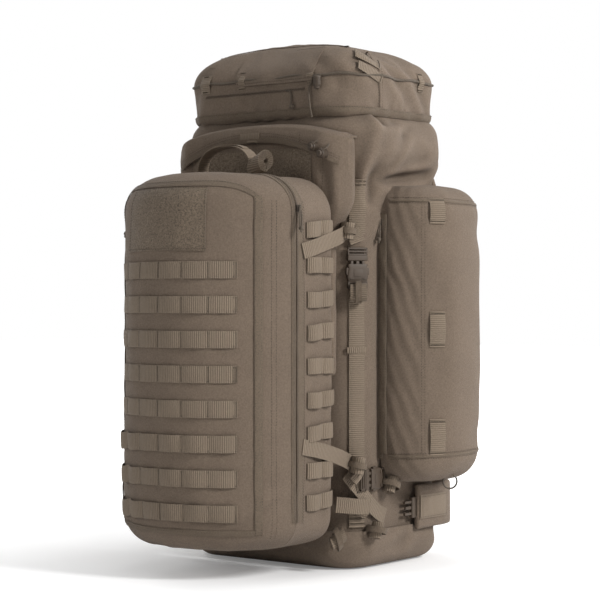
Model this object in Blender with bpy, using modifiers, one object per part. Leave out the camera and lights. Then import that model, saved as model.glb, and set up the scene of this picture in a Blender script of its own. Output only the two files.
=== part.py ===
"""A large rucksack with a detachable daypack, two side pouches and a hip belt.

Everything is in metres, +Z up. The origin is the middle of the flat base, the
daypack is on -Y and the wearer's back is on +Y.
"""
from math import acos, cos, pi, radians, sin, sqrt

import bmesh
import bpy
from mathutils import Matrix, Vector

# Driving dimensions -----------------------------------------------------------
GAP = 0.0003                 # clearance between pieces that touch

BAG_HALF_WIDTH = 0.172
BAG_FRONT = -0.125
BAG_BACK = 0.135
BAG_CORNER = 0.060
CORNER_STEPS = 4             # facets of each upright corner
BAG_RIM_HEIGHT = 0.712
BAG_BASE_EDGE = 0.030
BAG_WALL = 0.003
BAG_RIM_INSET = 0.0172
BAG_BULGE = 0.008

BOOT_WALL = 0.002
BOOT_HEIGHT = 0.060

LID_HALF_WIDTH = 0.168
LID_HALF_DEPTH = 0.125
LID_CORNER = 0.050
LID_OVERLAP = 0.015          # the lid comes down this far past the bag's rim
LID_HEIGHT = 0.130
LID_EDGE = 0.055
LID_WALL = 0.004
LID_CORD_RISE = 0.065        # the cord lies this far above the lid's lower edge
LID_SLIDER_RISE = 0.044
CORD_RADIUS = 0.002

POCKET_HALF_WIDTH = 0.150
POCKET_DEPTH = 0.021
POCKET_BOTTOM = 0.300
POCKET_TOP = 0.665
POCKET_WALL = 0.002
FLAP_BOTTOM = 0.612
FLAP_TOP = 0.682
FLAP_THICKNESS = 0.004
FLAP_OVERHANG = 0.002        # each end of the flap passes the pocket by this
FLAP_EDGE = 0.006

DAYPACK_RADIUS = 0.169
DAYPACK_SPLIT_OFFSET = 0.052
DAYPACK_BACK_DEPTH = 0.1004
DAYPACK_BOTTOM = 0.045
DAYPACK_HEIGHT = 0.560
DAYPACK_EDGE = 0.045
DAYPACK_WALL = 0.003
DAYPACK_REAR_CORNER = 0.030
SPLIT_GAP = 0.0012           # the front half stands off by this, for its slanted rim

WEBBING_WIDTH = 0.025
WEBBING_THICKNESS = 0.0016
ROW_COUNT = 8
ROW_PITCH = 0.0508
ROW_TOP = 0.459
ARC_STEPS = 16               # facets of the front panel on each side of its middle
ROW_HALF_STEPS = 9           # of those, the ones that a webbing row covers

POUCH_CENTRE_Y = 0.040
POUCH_HALF_LENGTH = 0.095
POUCH_DEPTH = 0.0944
POUCH_BOTTOM = 0.133
POUCH_HEIGHT = 0.462
POUCH_EDGE = 0.045
POUCH_WALL = 0.003

HANDLE_SPAN = 0.110
HANDLE_RISE = 0.048
HANDLE_WIDTH = 0.020
HANDLE_THICKNESS = 0.003

SHEET_THICKNESS = 0.0016
SHEET_BOTTOM = 0.040
SHEET_TOP = 0.620
STAY_WIDTH = 0.022
STAY_THICKNESS = 0.003
STAY_SPREAD = 0.060
STAY_EDGE = 0.001
STAY_SHORTER = 0.010         # the stays end this much short of the sheet, in all

PAD_WIDTH = 0.085
PAD_THICKNESS = 0.020
PAD_SPREAD = 0.062
PAD_BOTTOM = 0.190
PAD_TOP = 0.570
PAD_EDGE = 0.009
LUMBAR_HALF_WIDTH = 0.1197
LUMBAR_THICKNESS = 0.030
LUMBAR_EDGE = 0.008
BELT_BOTTOM = 0.050
BELT_TOP = 0.125
BELT_THICKNESS = 0.012
BELT_END_Y = 0.030           # where each wing stops and its buckle starts

STRAP_WIDTH = 0.060
STRAP_THICKNESS = 0.012

BUCKLE_WIDTH = 0.034
BUCKLE_THICKNESS = 0.009
SOCKET_LENGTH = 0.028
PLUG_BASE_LENGTH = 0.014
TONGUE_LENGTH = 0.021
TONGUE_WIDTH = 0.024
TONGUE_THICKNESS = 0.0045
UPPER_BUCKLE_HEIGHT = 0.470
LOWER_BUCKLE_HEIGHT = 0.140
SIDE_STRAP_BOTTOM = 0.064

LOCK_RADIUS = 0.0070
LOCK_LENGTH = 0.016
BUTTON_RADIUS = 0.0048
BUTTON_LENGTH = 0.010
BUTTON_PROUD = 0.0035

SLIDER_SIZE = (0.008, 0.010, 0.016)

TAIL_RADIUS = 0.0015
LID_TAIL_BENDS = (           # x and y, and the drop below the lid's cord
    (0.1031, -0.1318, 0.0080), (0.0985, -0.1330, 0.0170), (0.0975, -0.1345, 0.0290),
    (0.0990, -0.1350, 0.0420), (0.1010, -0.1350, 0.0540), (0.1040, -0.1350, 0.0660),
)

# Places worked out from the driving dimensions ----------------------------------
BAG_BOTTOM = BOOT_WALL + GAP
POCKET_BACK = BAG_FRONT - GAP
POCKET_FRONT = POCKET_BACK - POCKET_DEPTH
DAYPACK_BACK = POCKET_FRONT - GAP
DAYPACK_SPLIT = DAYPACK_BACK - DAYPACK_BACK_DEPTH
DAYPACK_CENTRE_Y = DAYPACK_SPLIT + DAYPACK_SPLIT_OFFSET
DAYPACK_HALF_WIDTH = sqrt(DAYPACK_RADIUS ** 2 - DAYPACK_SPLIT_OFFSET ** 2)
DAYPACK_TOP = DAYPACK_BOTTOM + DAYPACK_HEIGHT
PANEL_INNER = BAG_HALF_WIDTH + GAP
PANEL_OUTER = PANEL_INNER + POUCH_WALL
POUCH_INNER = PANEL_OUTER + GAP
POUCH_FRONT = POUCH_CENTRE_Y - POUCH_HALF_LENGTH
POUCH_REAR = POUCH_CENTRE_Y + POUCH_HALF_LENGTH
BACK_FACE = BAG_BACK + GAP
LID_BOTTOM = BAG_RIM_HEIGHT - LID_OVERLAP
LID_TOP = LID_BOTTOM + LID_HEIGHT
LID_CORD_HEIGHT = LID_BOTTOM + LID_CORD_RISE
SIDES = (("left", -1), ("right", 1))


# Scene, materials and helpers ---------------------------------------------------
def clear_scene():
    for old in list(bpy.data.objects):
        bpy.data.objects.remove(old, do_unlink=True)


def new_collection(name):
    collection = bpy.data.collections.new(name)
    bpy.context.scene.collection.children.link(collection)
    return collection


clear_scene()
PARTS = new_collection("rucksack")
CUTTERS = new_collection("cutters")


def material(name, colour, roughness, metallic=0.0):
    made = bpy.data.materials.new(name)
    made.use_nodes = True
    shader = made.node_tree.nodes["Principled BSDF"]
    shader.inputs["Base Color"].default_value = (*colour, 1.0)
    shader.inputs["Roughness"].default_value = roughness
    shader.inputs["Metallic"].default_value = metallic
    return made


FABRIC = material("pack_cloth", (0.180, 0.138, 0.104), 0.85)
WEBBING = material("webbing", (0.205, 0.158, 0.118), 0.75)
FOAM = material("spacer_mesh", (0.120, 0.095, 0.075), 0.95)
PLASTIC = material("moulded_buckle", (0.075, 0.060, 0.048), 0.45)
SHEET_PLASTIC = material("frame_sheet_plastic", (0.030, 0.030, 0.030), 0.50)
ALUMINIUM = material("stay_aluminium", (0.700, 0.700, 0.710), 0.35, 1.0)
SLIDER_METAL = material("slider_metal", (0.060, 0.050, 0.042), 0.40, 1.0)
CORD = material("shock_cord", (0.110, 0.085, 0.065), 0.80)


def add_object(name, mesh, finish, collection=PARTS):
    made = bpy.data.objects.new(name, mesh)
    collection.objects.link(made)
    mesh.materials.clear()
    mesh.materials.append(finish)
    return made


def mesh_from_bmesh(name, work, recalculate=True):
    if recalculate:
        bmesh.ops.recalc_face_normals(work, faces=work.faces)
    mesh = bpy.data.meshes.new(name)
    work.to_mesh(mesh)
    work.free()
    mesh.shade_smooth()
    mesh.set_sharp_from_angle(angle=radians(35))
    return mesh


def box_mesh(name, size, centre=(0.0, 0.0, 0.0)):
    work = bmesh.new()
    bmesh.ops.create_cube(work, size=1.0)
    bmesh.ops.scale(work, vec=size, verts=work.verts)
    bmesh.ops.translate(work, vec=centre, verts=work.verts)
    return mesh_from_bmesh(name, work)


def move_origin(made, point):
    """Puts an object's origin on its joint without moving its shape."""
    made.data.transform(Matrix.Translation(-Vector(point)))
    made.location = point


def union_with(made, other, operation="UNION"):
    step = made.modifiers.new(operation.lower(), "BOOLEAN")
    step.operation = operation
    step.solver = "EXACT"
    step.object = other
    other.hide_render = True
    other.display_type = "WIRE"


def soften(made, width, segments=2):
    bevel = made.modifiers.new("rounded_edges", "BEVEL")
    bevel.width = width
    bevel.segments = segments
    bevel.limit_method = "ANGLE"
    bevel.angle_limit = radians(50)


def thicken(made, wall):
    """Gives an open shell its wall, inwards from the surface that was drawn."""
    shell = made.modifiers.new("wall", "SOLIDIFY")
    shell.thickness = wall
    shell.offset = -1.0
    shell.use_even_offset = True


def loft(name, rings, closed_ring, cap_first, cap_last, flip):
    """Joins rings of equal length, each a list of points, into one skin."""
    work = bmesh.new()
    levels = [[work.verts.new(point) for point in ring] for ring in rings]
    count = len(levels[0])
    spans = count if closed_ring else count - 1
    for lower, upper in zip(levels, levels[1:]):
        for i in range(spans):
            j = (i + 1) % count
            corners = (lower[i], lower[j], upper[j], upper[i])
            work.faces.new(reversed(corners) if flip else corners)
    if cap_first:
        work.faces.new(levels[0] if flip else list(reversed(levels[0])))
    if cap_last:
        work.faces.new(list(reversed(levels[-1])) if flip else levels[-1])
    return mesh_from_bmesh(name, work, recalculate=False)


def rounded_box(half_width, front, back, corner, steps=CORNER_STEPS):
    """Outline of a box with round corners, seen from above, anticlockwise."""
    corner = max(corner, 0.002)
    centres = (
        (half_width - corner, front + corner, -pi / 2),
        (half_width - corner, back - corner, 0.0),
        (-half_width + corner, back - corner, pi / 2),
        (-half_width + corner, front + corner, pi),
    )
    points = []
    for cx, cy, start in centres:
        for step in range(steps + 1):
            turn = start + step * pi / 2 / steps
            points.append((cx + corner * cos(turn), cy + corner * sin(turn)))
    return points


def edge_profile(bottom, top, edge_bottom, edge_top, steps=3):
    """Heights and insets of rings that round over the bottom and the top."""
    levels = []
    if edge_bottom:
        for step in range(steps + 1):
            turn = step * pi / 2 / steps
            levels.append((bottom + edge_bottom * (1 - cos(turn)),
                           edge_bottom * (1 - sin(turn))))
    else:
        levels.append((bottom, 0.0))
    if edge_top:
        for step in range(steps + 1):
            turn = step * pi / 2 / steps
            levels.append((top - edge_top * (1 - sin(turn)),
                           edge_top * (1 - cos(turn))))
    else:
        levels.append((top, 0.0))
    return levels


def place(points, height):
    return [(x, y, height) for x, y in points]


def smooth_path(points, steps):
    """Reads a Catmull-Rom curve through hand-placed points."""
    ends = [points[0], *points, points[-1]]
    path = []
    for p0, p1, p2, p3 in zip(ends, ends[1:], ends[2:], ends[3:]):
        p0, p1, p2, p3 = map(Vector, (p0, p1, p2, p3))
        for step in range(steps):
            t = step / steps
            path.append(0.5 * (2 * p1 + (p2 - p0) * t
                               + (2 * p0 - 5 * p1 + 4 * p2 - p3) * t * t
                               + (3 * p1 - p0 - 3 * p2 + p3) * t ** 3))
    path.append(Vector(points[-1]))
    return path


ALONG_X = ((1, 0, 0), (1, 0, 0))
ALONG_Y = ((0, 1, 0), (0, 1, 0))
ALONG_Z = ((0, 0, 1), (0, 0, 1))


def sweep_band(name, path, across, width, thickness, finish):
    """Carries a flat band along a path.

    across holds the band's width direction at its first and at its last point.
    """
    first, last = Vector(across[0]), Vector(across[1])
    half_w, half_t = width / 2, thickness / 2
    soft = half_t * 0.6
    rings = []
    for i, point in enumerate(path):
        run = path[min(i + 1, len(path) - 1)] - path[max(i - 1, 0)]
        across = first.lerp(last, i / (len(path) - 1)).normalized()
        side = (across - run * across.dot(run) / run.length_squared).normalized()
        face = run.cross(side).normalized()
        corners = ((-half_w, -half_t + soft), (-half_w + soft, -half_t),
                   (half_w - soft, -half_t), (half_w, -half_t + soft),
                   (half_w, half_t - soft), (half_w - soft, half_t),
                   (-half_w + soft, half_t), (-half_w, half_t - soft))
        rings.append([point + side * w + face * t for w, t in corners])
    mesh = loft(name, rings, True, True, True, False)
    work = bmesh.new()
    work.from_mesh(mesh)
    bpy.data.meshes.remove(mesh)
    return add_object(name, mesh_from_bmesh(name, work), finish)


# Main bag -----------------------------------------------------------------------
def bag_outline(inset, bulge=0.0):
    return rounded_box(BAG_HALF_WIDTH - inset + bulge, BAG_FRONT + inset,
                       BAG_BACK - inset, BAG_CORNER - inset + bulge / 2)


def make_main_bag():
    """The hollow main compartment, open at the snow collar under the lid."""
    rings = []
    for height, inset in edge_profile(BAG_BOTTOM, 0.0, BAG_BASE_EDGE, 0.0)[:-1]:
        rings.append(place(bag_outline(inset), height))
    shoulder = BAG_RIM_HEIGHT - 0.110
    rings.append(place(bag_outline(0.0), shoulder))
    rings.append(place(bag_outline(0.0, BAG_BULGE), shoulder + 0.035))
    rings.append(place(bag_outline(0.0, BAG_BULGE * 0.7), shoulder + 0.065))
    rings.append(place(bag_outline(BAG_RIM_INSET * 0.8), shoulder + 0.090))
    rings.append(place(bag_outline(BAG_RIM_INSET), BAG_RIM_HEIGHT))
    bag = add_object("main_bag", loft("main_bag", rings, True, True, False, False), FABRIC)
    thicken(bag, BAG_WALL)


def make_base_boot():
    """The tough boot around the bottom of the bag; its underside is the base."""
    skin = BOOT_WALL + GAP
    edge = BAG_BASE_EDGE + skin
    rings = []
    for height, inset in edge_profile(0.0, BOOT_HEIGHT, edge, 0.0):
        outline = rounded_box(BAG_HALF_WIDTH + skin - inset, BAG_FRONT - skin + inset,
                              BAG_BACK + skin - inset, BAG_CORNER + skin - inset)
        rings.append(place(outline, height))
    boot = add_object("base_boot", loft("base_boot", rings, True, True, False, False), FABRIC)
    thicken(boot, BOOT_WALL)


def make_front_pocket():
    """A flat pocket on the bag's front; the daypack covers its lower part."""
    corner = POCKET_DEPTH * 0.48
    outline = rounded_box(POCKET_HALF_WIDTH, POCKET_FRONT, POCKET_BACK, corner)
    rings = [place(outline, POCKET_BOTTOM), place(outline, POCKET_TOP)]
    mesh = loft("front_pocket", rings, True, True, False, False)
    thicken(add_object("front_pocket", mesh, FABRIC), POCKET_WALL)


def make_pocket_flap():
    """The flap over the front pocket: a lip over the top and a hanging face."""
    inner = POCKET_FRONT - GAP
    outer = inner - FLAP_THICKNESS
    half = POCKET_HALF_WIDTH + FLAP_OVERHANG
    hinge_y = POCKET_BACK - 0.005
    profile = ((hinge_y, FLAP_TOP - FLAP_THICKNESS), (inner, FLAP_TOP - FLAP_THICKNESS),
               (inner, FLAP_BOTTOM), (outer, FLAP_BOTTOM), (outer, FLAP_TOP - FLAP_EDGE),
               (outer + FLAP_EDGE, FLAP_TOP), (hinge_y, FLAP_TOP))
    rings = [[(x, y, z) for y, z in profile] for x in (-half, half)]
    flap = add_object("pocket_flap", loft("pocket_flap", rings, True, True, True, True), FABRIC)
    move_origin(flap, (0.0, hinge_y, FLAP_TOP - FLAP_THICKNESS / 2))


# Back system ---------------------------------------------------------------------
def make_back_system():
    """Frame sheet and stays inside the bag; pads and lumbar cushion outside."""
    sheet_back = BAG_BACK - BAG_WALL - GAP
    sheet_y = sheet_back - SHEET_THICKNESS / 2
    height = SHEET_TOP - SHEET_BOTTOM
    middle = (SHEET_TOP + SHEET_BOTTOM) / 2
    width = 2 * (BAG_HALF_WIDTH - BAG_CORNER)
    mesh = box_mesh("frame_sheet", (width, SHEET_THICKNESS, height), (0, sheet_y, middle))
    add_object("frame_sheet", mesh, SHEET_PLASTIC)
    stay_y = sheet_back - SHEET_THICKNESS - GAP - STAY_THICKNESS / 2
    for side, sign in SIDES:
        name = f"frame_stay_{side}"
        mesh = box_mesh(name, (STAY_WIDTH, STAY_THICKNESS, height - STAY_SHORTER),
                        (sign * STAY_SPREAD, stay_y, middle))
        soften(add_object(name, mesh, ALUMINIUM), STAY_EDGE)
        name = f"back_pad_{side}"
        mesh = box_mesh(name, (PAD_WIDTH, PAD_THICKNESS, PAD_TOP - PAD_BOTTOM),
                        (sign * PAD_SPREAD, BACK_FACE + PAD_THICKNESS / 2,
                         (PAD_TOP + PAD_BOTTOM) / 2))
        soften(add_object(name, mesh, FOAM), PAD_EDGE, 3)
    lumbar_y = BACK_FACE + BOOT_WALL + GAP + LUMBAR_THICKNESS / 2
    mesh = box_mesh("lumbar_pad", (2 * LUMBAR_HALF_WIDTH, LUMBAR_THICKNESS, BELT_TOP - BELT_BOTTOM),
                    (0, lumbar_y, (BELT_TOP + BELT_BOTTOM) / 2))
    soften(add_object("lumbar_pad", mesh, FOAM), LUMBAR_EDGE, 3)


def make_shoulder_harness():
    """Padded straps from the yoke, with lower webbing and its ladder locks."""
    for side, sign in SIDES:
        root = Vector((sign * 0.055, BACK_FACE + 0.0065, 0.585))
        bends = ((0.0, 0.0, 0.0), (0.001, 0.010, 0.032), (0.006, 0.034, 0.054),
                 (0.014, 0.062, 0.040), (0.026, 0.076, -0.015), (0.050, 0.074, -0.110),
                 (0.076, 0.068, -0.200), (0.096, 0.060, -0.265))
        route = [root + Vector((sign * x, y, z)) for x, y, z in bends]
        strap = sweep_band(f"shoulder_strap_{side}", smooth_path(route, 3),
                           ALONG_X, STRAP_WIDTH, STRAP_THICKNESS, FOAM)
        move_origin(strap, root)
        lower_end = route[-1]
        lock_top = lower_end.z - STRAP_THICKNESS - 0.004
        lock_name = f"ladder_lock_{side}"
        lock_height = 0.030
        lock_centre = Vector((lower_end.x + sign * 0.004, lower_end.y - 0.002,
                              lock_top - lock_height / 2 + 0.009))
        lock = add_object(lock_name, box_mesh(lock_name, (BUCKLE_WIDTH, 0.007, lock_height)), PLASTIC)
        lock.location = lock_centre
        slot_mesh = box_mesh("slot", (WEBBING_WIDTH + 0.001, 0.05, 0.006))
        for z in (-0.007, 0.005):
            slot = add_object(f"{lock_name}_slot_{z}", slot_mesh.copy(), PLASTIC, CUTTERS)
            slot.location = lock_centre + Vector((0, 0, z))
            union_with(lock, slot, "DIFFERENCE")
        webbing_top = lock_centre + Vector((0, 0, -lock_height / 2 - GAP - 0.0005))
        anchor = Vector((sign * 0.098, BACK_FACE + 0.0012, 0.150))
        route = (webbing_top, webbing_top + Vector((sign * 0.001, 0.002, -0.050)),
                 Vector((sign * 0.146, BACK_FACE + 0.052, 0.166)),
                 Vector((sign * 0.122, BACK_FACE + 0.016, 0.152)), anchor)
        sweep_band(f"shoulder_webbing_{side}", smooth_path(route, 4),
                   ((1, 0, 0), (0, 0, sign)), WEBBING_WIDTH, WEBBING_THICKNESS, WEBBING)


def make_hip_belt():
    """Belt wings wrapped forward around the bag under the pouches."""
    inner = BAG_HALF_WIDTH + BOOT_WALL + 2 * GAP + BELT_THICKNESS / 2 + 0.002
    middle = (BELT_TOP + BELT_BOTTOM) / 2
    for side, sign in SIDES:
        hinge = Vector((sign * (LUMBAR_HALF_WIDTH + GAP + 0.0002), BACK_FACE + 0.018, middle))
        bends = ((hinge.x, hinge.y), (sign * (BAG_HALF_WIDTH - 0.022), hinge.y - 0.001),
                 (sign * (BAG_HALF_WIDTH + 0.002), hinge.y - 0.018),
                 (sign * inner, hinge.y - 0.052), (sign * inner, BELT_END_Y + 0.030),
                 (sign * inner, BELT_END_Y))
        route = [Vector((x, y, middle)) for x, y in bends]
        wing = sweep_band(f"belt_wing_{side}", smooth_path(route, 3), ALONG_Z,
                          BELT_TOP - BELT_BOTTOM, BELT_THICKNESS, FOAM)
        move_origin(wing, hinge)
        tip = Vector((sign * inner, BELT_END_Y - 2 * GAP, middle))
        frame = frame_from(tip, Vector((sign, 0, 0)), Vector((0, -1, 0)))
        if sign > 0:
            buckle_plug("belt_buckle_plug", frame_from(tip + Vector((0, -PLUG_BASE_LENGTH, 0)),
                                                       Vector((sign, 0, 0)), Vector((0, 1, 0))), 0.0)
        else:
            buckle_socket("belt_buckle_socket", frame, 0.0)


# Buckles -------------------------------------------------------------------------
def buckle_socket(name, frame, start):
    """The hollow half; local z runs out of its mouth, which is at start + length."""
    centre = (0, 0, start + SOCKET_LENGTH / 2)
    mesh = box_mesh(name, (BUCKLE_WIDTH, BUCKLE_THICKNESS, SOCKET_LENGTH), centre)
    mesh.transform(frame)
    socket = add_object(name, mesh, PLASTIC)
    cavity = box_mesh("cavity", (TONGUE_WIDTH + 2 * GAP, TONGUE_THICKNESS + 2 * GAP, SOCKET_LENGTH),
                      (0, 0, start + SOCKET_LENGTH - TONGUE_LENGTH + SOCKET_LENGTH / 2 - GAP))
    cavity.transform(frame)
    cutter = add_object(f"{name}_cavity", cavity, PLASTIC, CUTTERS)
    union_with(socket, cutter, "DIFFERENCE")


def buckle_plug(name, frame, start):
    """The half with the tongue; its base lies past the mouth along local z."""
    base = box_mesh(name, (BUCKLE_WIDTH, BUCKLE_THICKNESS, PLUG_BASE_LENGTH),
                    (0, 0, start + PLUG_BASE_LENGTH / 2))
    base.transform(frame)
    plug = add_object(name, base, PLASTIC)
    overlap = 0.001
    tongue = box_mesh("tongue", (TONGUE_WIDTH, TONGUE_THICKNESS, TONGUE_LENGTH + overlap),
                      (0, 0, start - TONGUE_LENGTH / 2 + overlap / 2))
    tongue.transform(frame)
    union_with(plug, add_object(f"{name}_tongue", tongue, PLASTIC, CUTTERS))
    return plug


def make_side_buckles():
    """Upper buckle on the vertical side strap, lower one towards the daypack."""
    facet = pi / 2 / CORNER_STEPS
    lean = 2.5 * facet
    for side, sign in SIDES:
        normal = Vector((sign * sin(lean), -cos(lean), 0))
        corner = Vector((sign * (BAG_HALF_WIDTH - BAG_CORNER), BAG_FRONT + BAG_CORNER, 0))
        along = Vector((0, 0, 1))
        flat = corner + normal * (BAG_CORNER * cos(facet / 2) + GAP)
        strap_mid = flat + normal * WEBBING_THICKNESS / 2
        top = UPPER_BUCKLE_HEIGHT - SOCKET_LENGTH - GAP
        route = [strap_mid + Vector((0, 0, z)) for z in (SIDE_STRAP_BOTTOM, top / 2, top)]
        across = normal.cross(along)
        sweep_band(f"side_strap_{side}", route, (across, across), WEBBING_WIDTH,
                   WEBBING_THICKNESS, WEBBING)
        centre = flat + normal * BUCKLE_THICKNESS / 2
        frame = frame_from(centre + Vector((0, 0, UPPER_BUCKLE_HEIGHT)), normal, along)
        buckle_socket(f"upper_buckle_socket_{side}", frame, -SOCKET_LENGTH)
        buckle_plug(f"upper_buckle_plug_{side}", frame, GAP)
        normal = Vector((sign, 0, 0))
        along = Vector((0, -1, 0))
        mouth = Vector((sign * (PANEL_INNER + GAP + BUCKLE_THICKNESS / 2),
                        POUCH_FRONT - GAP - SOCKET_LENGTH - 0.001, LOWER_BUCKLE_HEIGHT))
        frame = frame_from(mouth, normal, along)
        buckle_socket(f"lower_buckle_socket_{side}", frame, -SOCKET_LENGTH)
        buckle_plug(f"lower_buckle_plug_{side}", frame, GAP)


def frame_from(origin, normal, along):
    """A frame whose z runs along a buckle and whose y points off the bag."""
    across = normal.cross(along)
    turn = Matrix((across, normal, along)).transposed().to_4x4()
    return Matrix.Translation(origin) @ turn


# Daypack ---------------------------------------------------------------------------
def front_arc(radius):
    """The front panel's arc seen from above, from split plane to split plane."""
    reach = acos(DAYPACK_SPLIT_OFFSET / radius)
    turns = [reach * step / ARC_STEPS for step in range(-ARC_STEPS, ARC_STEPS + 1)]
    return [(radius * sin(turn), DAYPACK_CENTRE_Y - radius * cos(turn)) for turn in turns]


def make_daypack_front():
    """The curved front panel of the daypack, hinged along its bottom edge."""
    levels = edge_profile(DAYPACK_BOTTOM, DAYPACK_TOP, DAYPACK_EDGE, DAYPACK_EDGE)
    rings = []
    for height, inset in levels:
        arc = front_arc(DAYPACK_RADIUS - inset)
        rings.append([(x, y - SPLIT_GAP, height) for x, y in arc])
    mesh = loft("daypack_front", rings, False, True, True, False)
    front = add_object("daypack_front", mesh, FABRIC)
    thicken(front, DAYPACK_WALL)
    move_origin(front, (0.0, DAYPACK_SPLIT, DAYPACK_BOTTOM))


def make_daypack_back():
    """The half against the bag: back panel, sides, top and bottom in one shell."""
    corner = DAYPACK_REAR_CORNER
    rings = []
    for height, inset in edge_profile(DAYPACK_BOTTOM, DAYPACK_TOP, DAYPACK_EDGE, DAYPACK_EDGE):
        half = front_arc(DAYPACK_RADIUS - inset)[-1][0]
        outline = rounded_box(half, DAYPACK_SPLIT - corner, DAYPACK_BACK, corner)
        rear = [point for point in outline if point[1] > DAYPACK_SPLIT]
        ring = [(half, DAYPACK_SPLIT + GAP), *rear, (-half, DAYPACK_SPLIT + GAP)]
        rings.append(place(ring, height))
    mesh = loft("daypack_back", rings, False, True, True, False)
    thicken(add_object("daypack_back", mesh, FABRIC), DAYPACK_WALL)


def make_webbing_rows():
    """Rows of attachment webbing across the daypack's front."""
    step = acos(DAYPACK_SPLIT_OFFSET / DAYPACK_RADIUS) / ARC_STEPS
    inner = DAYPACK_RADIUS + GAP
    turns = [step * i for i in range(-ROW_HALF_STEPS, ROW_HALF_STEPS + 1)]
    for row in range(ROW_COUNT):
        middle = ROW_TOP - row * ROW_PITCH
        rings = []
        for turn in turns:
            ring = []
            for radius, side in ((inner, -1), (inner, 1), (inner + WEBBING_THICKNESS, 1),
                                 (inner + WEBBING_THICKNESS, -1)):
                ring.append((radius * sin(turn), DAYPACK_CENTRE_Y - SPLIT_GAP - radius * cos(turn),
                             middle + side * WEBBING_WIDTH / 2))
            rings.append(ring)
        name = f"webbing_row_{row + 1}"
        add_object(name, loft(name, rings, True, True, True, False), WEBBING)


def make_carry_handle():
    """A webbing grab handle standing up from the daypack's top."""
    steps = 14
    half = HANDLE_SPAN / 2
    foot = DAYPACK_TOP + GAP
    route = []
    for i in range(steps + 1):
        turn = pi * i / steps
        route.append(Vector((-half * cos(turn), DAYPACK_SPLIT + 0.037, foot + HANDLE_RISE * sin(turn))))
    handle = sweep_band("carry_handle", route, ALONG_Y, HANDLE_WIDTH, HANDLE_THICKNESS, WEBBING)
    floor = box_mesh("trim", (1.0, 1.0, 0.1), (0, 0, foot - 0.05))
    union_with(handle, add_object("handle_trim", floor, WEBBING, CUTTERS), "DIFFERENCE")


def make_slider(name, centre, finish=SLIDER_METAL, size=SLIDER_SIZE):
    slider = add_object(name, box_mesh(name, size), finish)
    slider.location = centre
    soften(slider, 0.0012)


def make_daypack_sliders():
    for side, sign in SIDES:
        x = sign * (DAYPACK_HALF_WIDTH + GAP + SLIDER_SIZE[0] / 2)
        make_slider(f"daypack_slider_{side}", (x, DAYPACK_SPLIT + 0.002, DAYPACK_TOP - 0.055))


# Side pouches ------------------------------------------------------------------------
def pouch_arc(inset, sign, steps=12, squareness=2.6):
    """Half a squared ellipse seen from above, bulging away from the bag."""
    long_axis = POUCH_HALF_LENGTH - inset
    deep_axis = POUCH_DEPTH - inset
    points = []
    for i in range(steps + 1):
        turn = -pi / 2 + pi * i / steps
        c, s = abs(cos(turn)), sin(turn)
        c = c if c > 1e-9 else 0.0
        x = deep_axis * c ** (2 / squareness)
        y = long_axis * abs(s) ** (2 / squareness) * (1 if s >= 0 else -1)
        points.append((sign * (POUCH_INNER + x), POUCH_CENTRE_Y + y))
    return points


def make_pouches():
    """A fixed back panel on the bag, and the pouch body hinged at its rear edge."""
    top = POUCH_BOTTOM + POUCH_HEIGHT
    for side, sign in SIDES:
        name = f"pouch_panel_{side}"
        mesh = box_mesh(name, (POUCH_WALL, 2 * POUCH_HALF_LENGTH, POUCH_HEIGHT),
                        (sign * (PANEL_INNER + POUCH_WALL / 2), POUCH_CENTRE_Y,
                         POUCH_BOTTOM + POUCH_HEIGHT / 2))
        add_object(name, mesh, FABRIC)
        rings = [place(pouch_arc(inset, sign), height) for height, inset
                 in edge_profile(POUCH_BOTTOM, top, POUCH_EDGE, POUCH_EDGE)]
        name = f"side_pouch_{side}"
        body = add_object(name, loft(name, rings, False, True, True, sign < 0), FABRIC)
        thicken(body, POUCH_WALL)
        move_origin(body, (sign * POUCH_INNER, POUCH_REAR, POUCH_BOTTOM))
        size = (SLIDER_SIZE[1], SLIDER_SIZE[0], SLIDER_SIZE[2])
        make_slider(f"pouch_slider_{side}", (sign * (PANEL_INNER + GAP + size[0] / 2),
                                             POUCH_FRONT - GAP - size[1] / 2, top - 0.060),
                    size=size)


# Lid -----------------------------------------------------------------------------------
def lid_outline(inset):
    return rounded_box(LID_HALF_WIDTH - inset, -LID_HALF_DEPTH + inset,
                       LID_HALF_DEPTH - inset, LID_CORNER - inset * 0.8, 5)


def make_lid():
    """The hollow lid, open underneath, hinged along its rear lower edge."""
    levels = edge_profile(LID_BOTTOM, LID_TOP, 0.0, LID_EDGE, 4)
    rings = [place(lid_outline(inset), height) for height, inset in levels]
    lid = add_object("lid", loft("lid", rings, True, False, True, False), FABRIC)
    thicken(lid, LID_WALL)
    move_origin(lid, (0.0, LID_HALF_DEPTH, LID_BOTTOM))
    size = (0.014, 0.008, 0.010)
    middle = (0.055, -LID_HALF_DEPTH - GAP - size[1] / 2, LID_BOTTOM + LID_SLIDER_RISE)
    make_slider("lid_zip_slider", middle, size=size)


def make_cord(name, points, closed, radius, finish):
    """A cord as a tube with filled ends along its points."""
    curve = bpy.data.curves.new(name, "CURVE")
    curve.dimensions = "3D"
    curve.bevel_depth = radius
    curve.bevel_resolution = 2
    curve.use_fill_caps = not closed
    line = curve.splines.new("POLY")
    line.points.add(len(points) - 1)
    for target, point in zip(line.points, points):
        target.co = (*point, 1.0)
    line.use_cyclic_u = closed
    made = bpy.data.objects.new(name, curve)
    PARTS.objects.link(made)
    curve.materials.append(finish)


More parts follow.
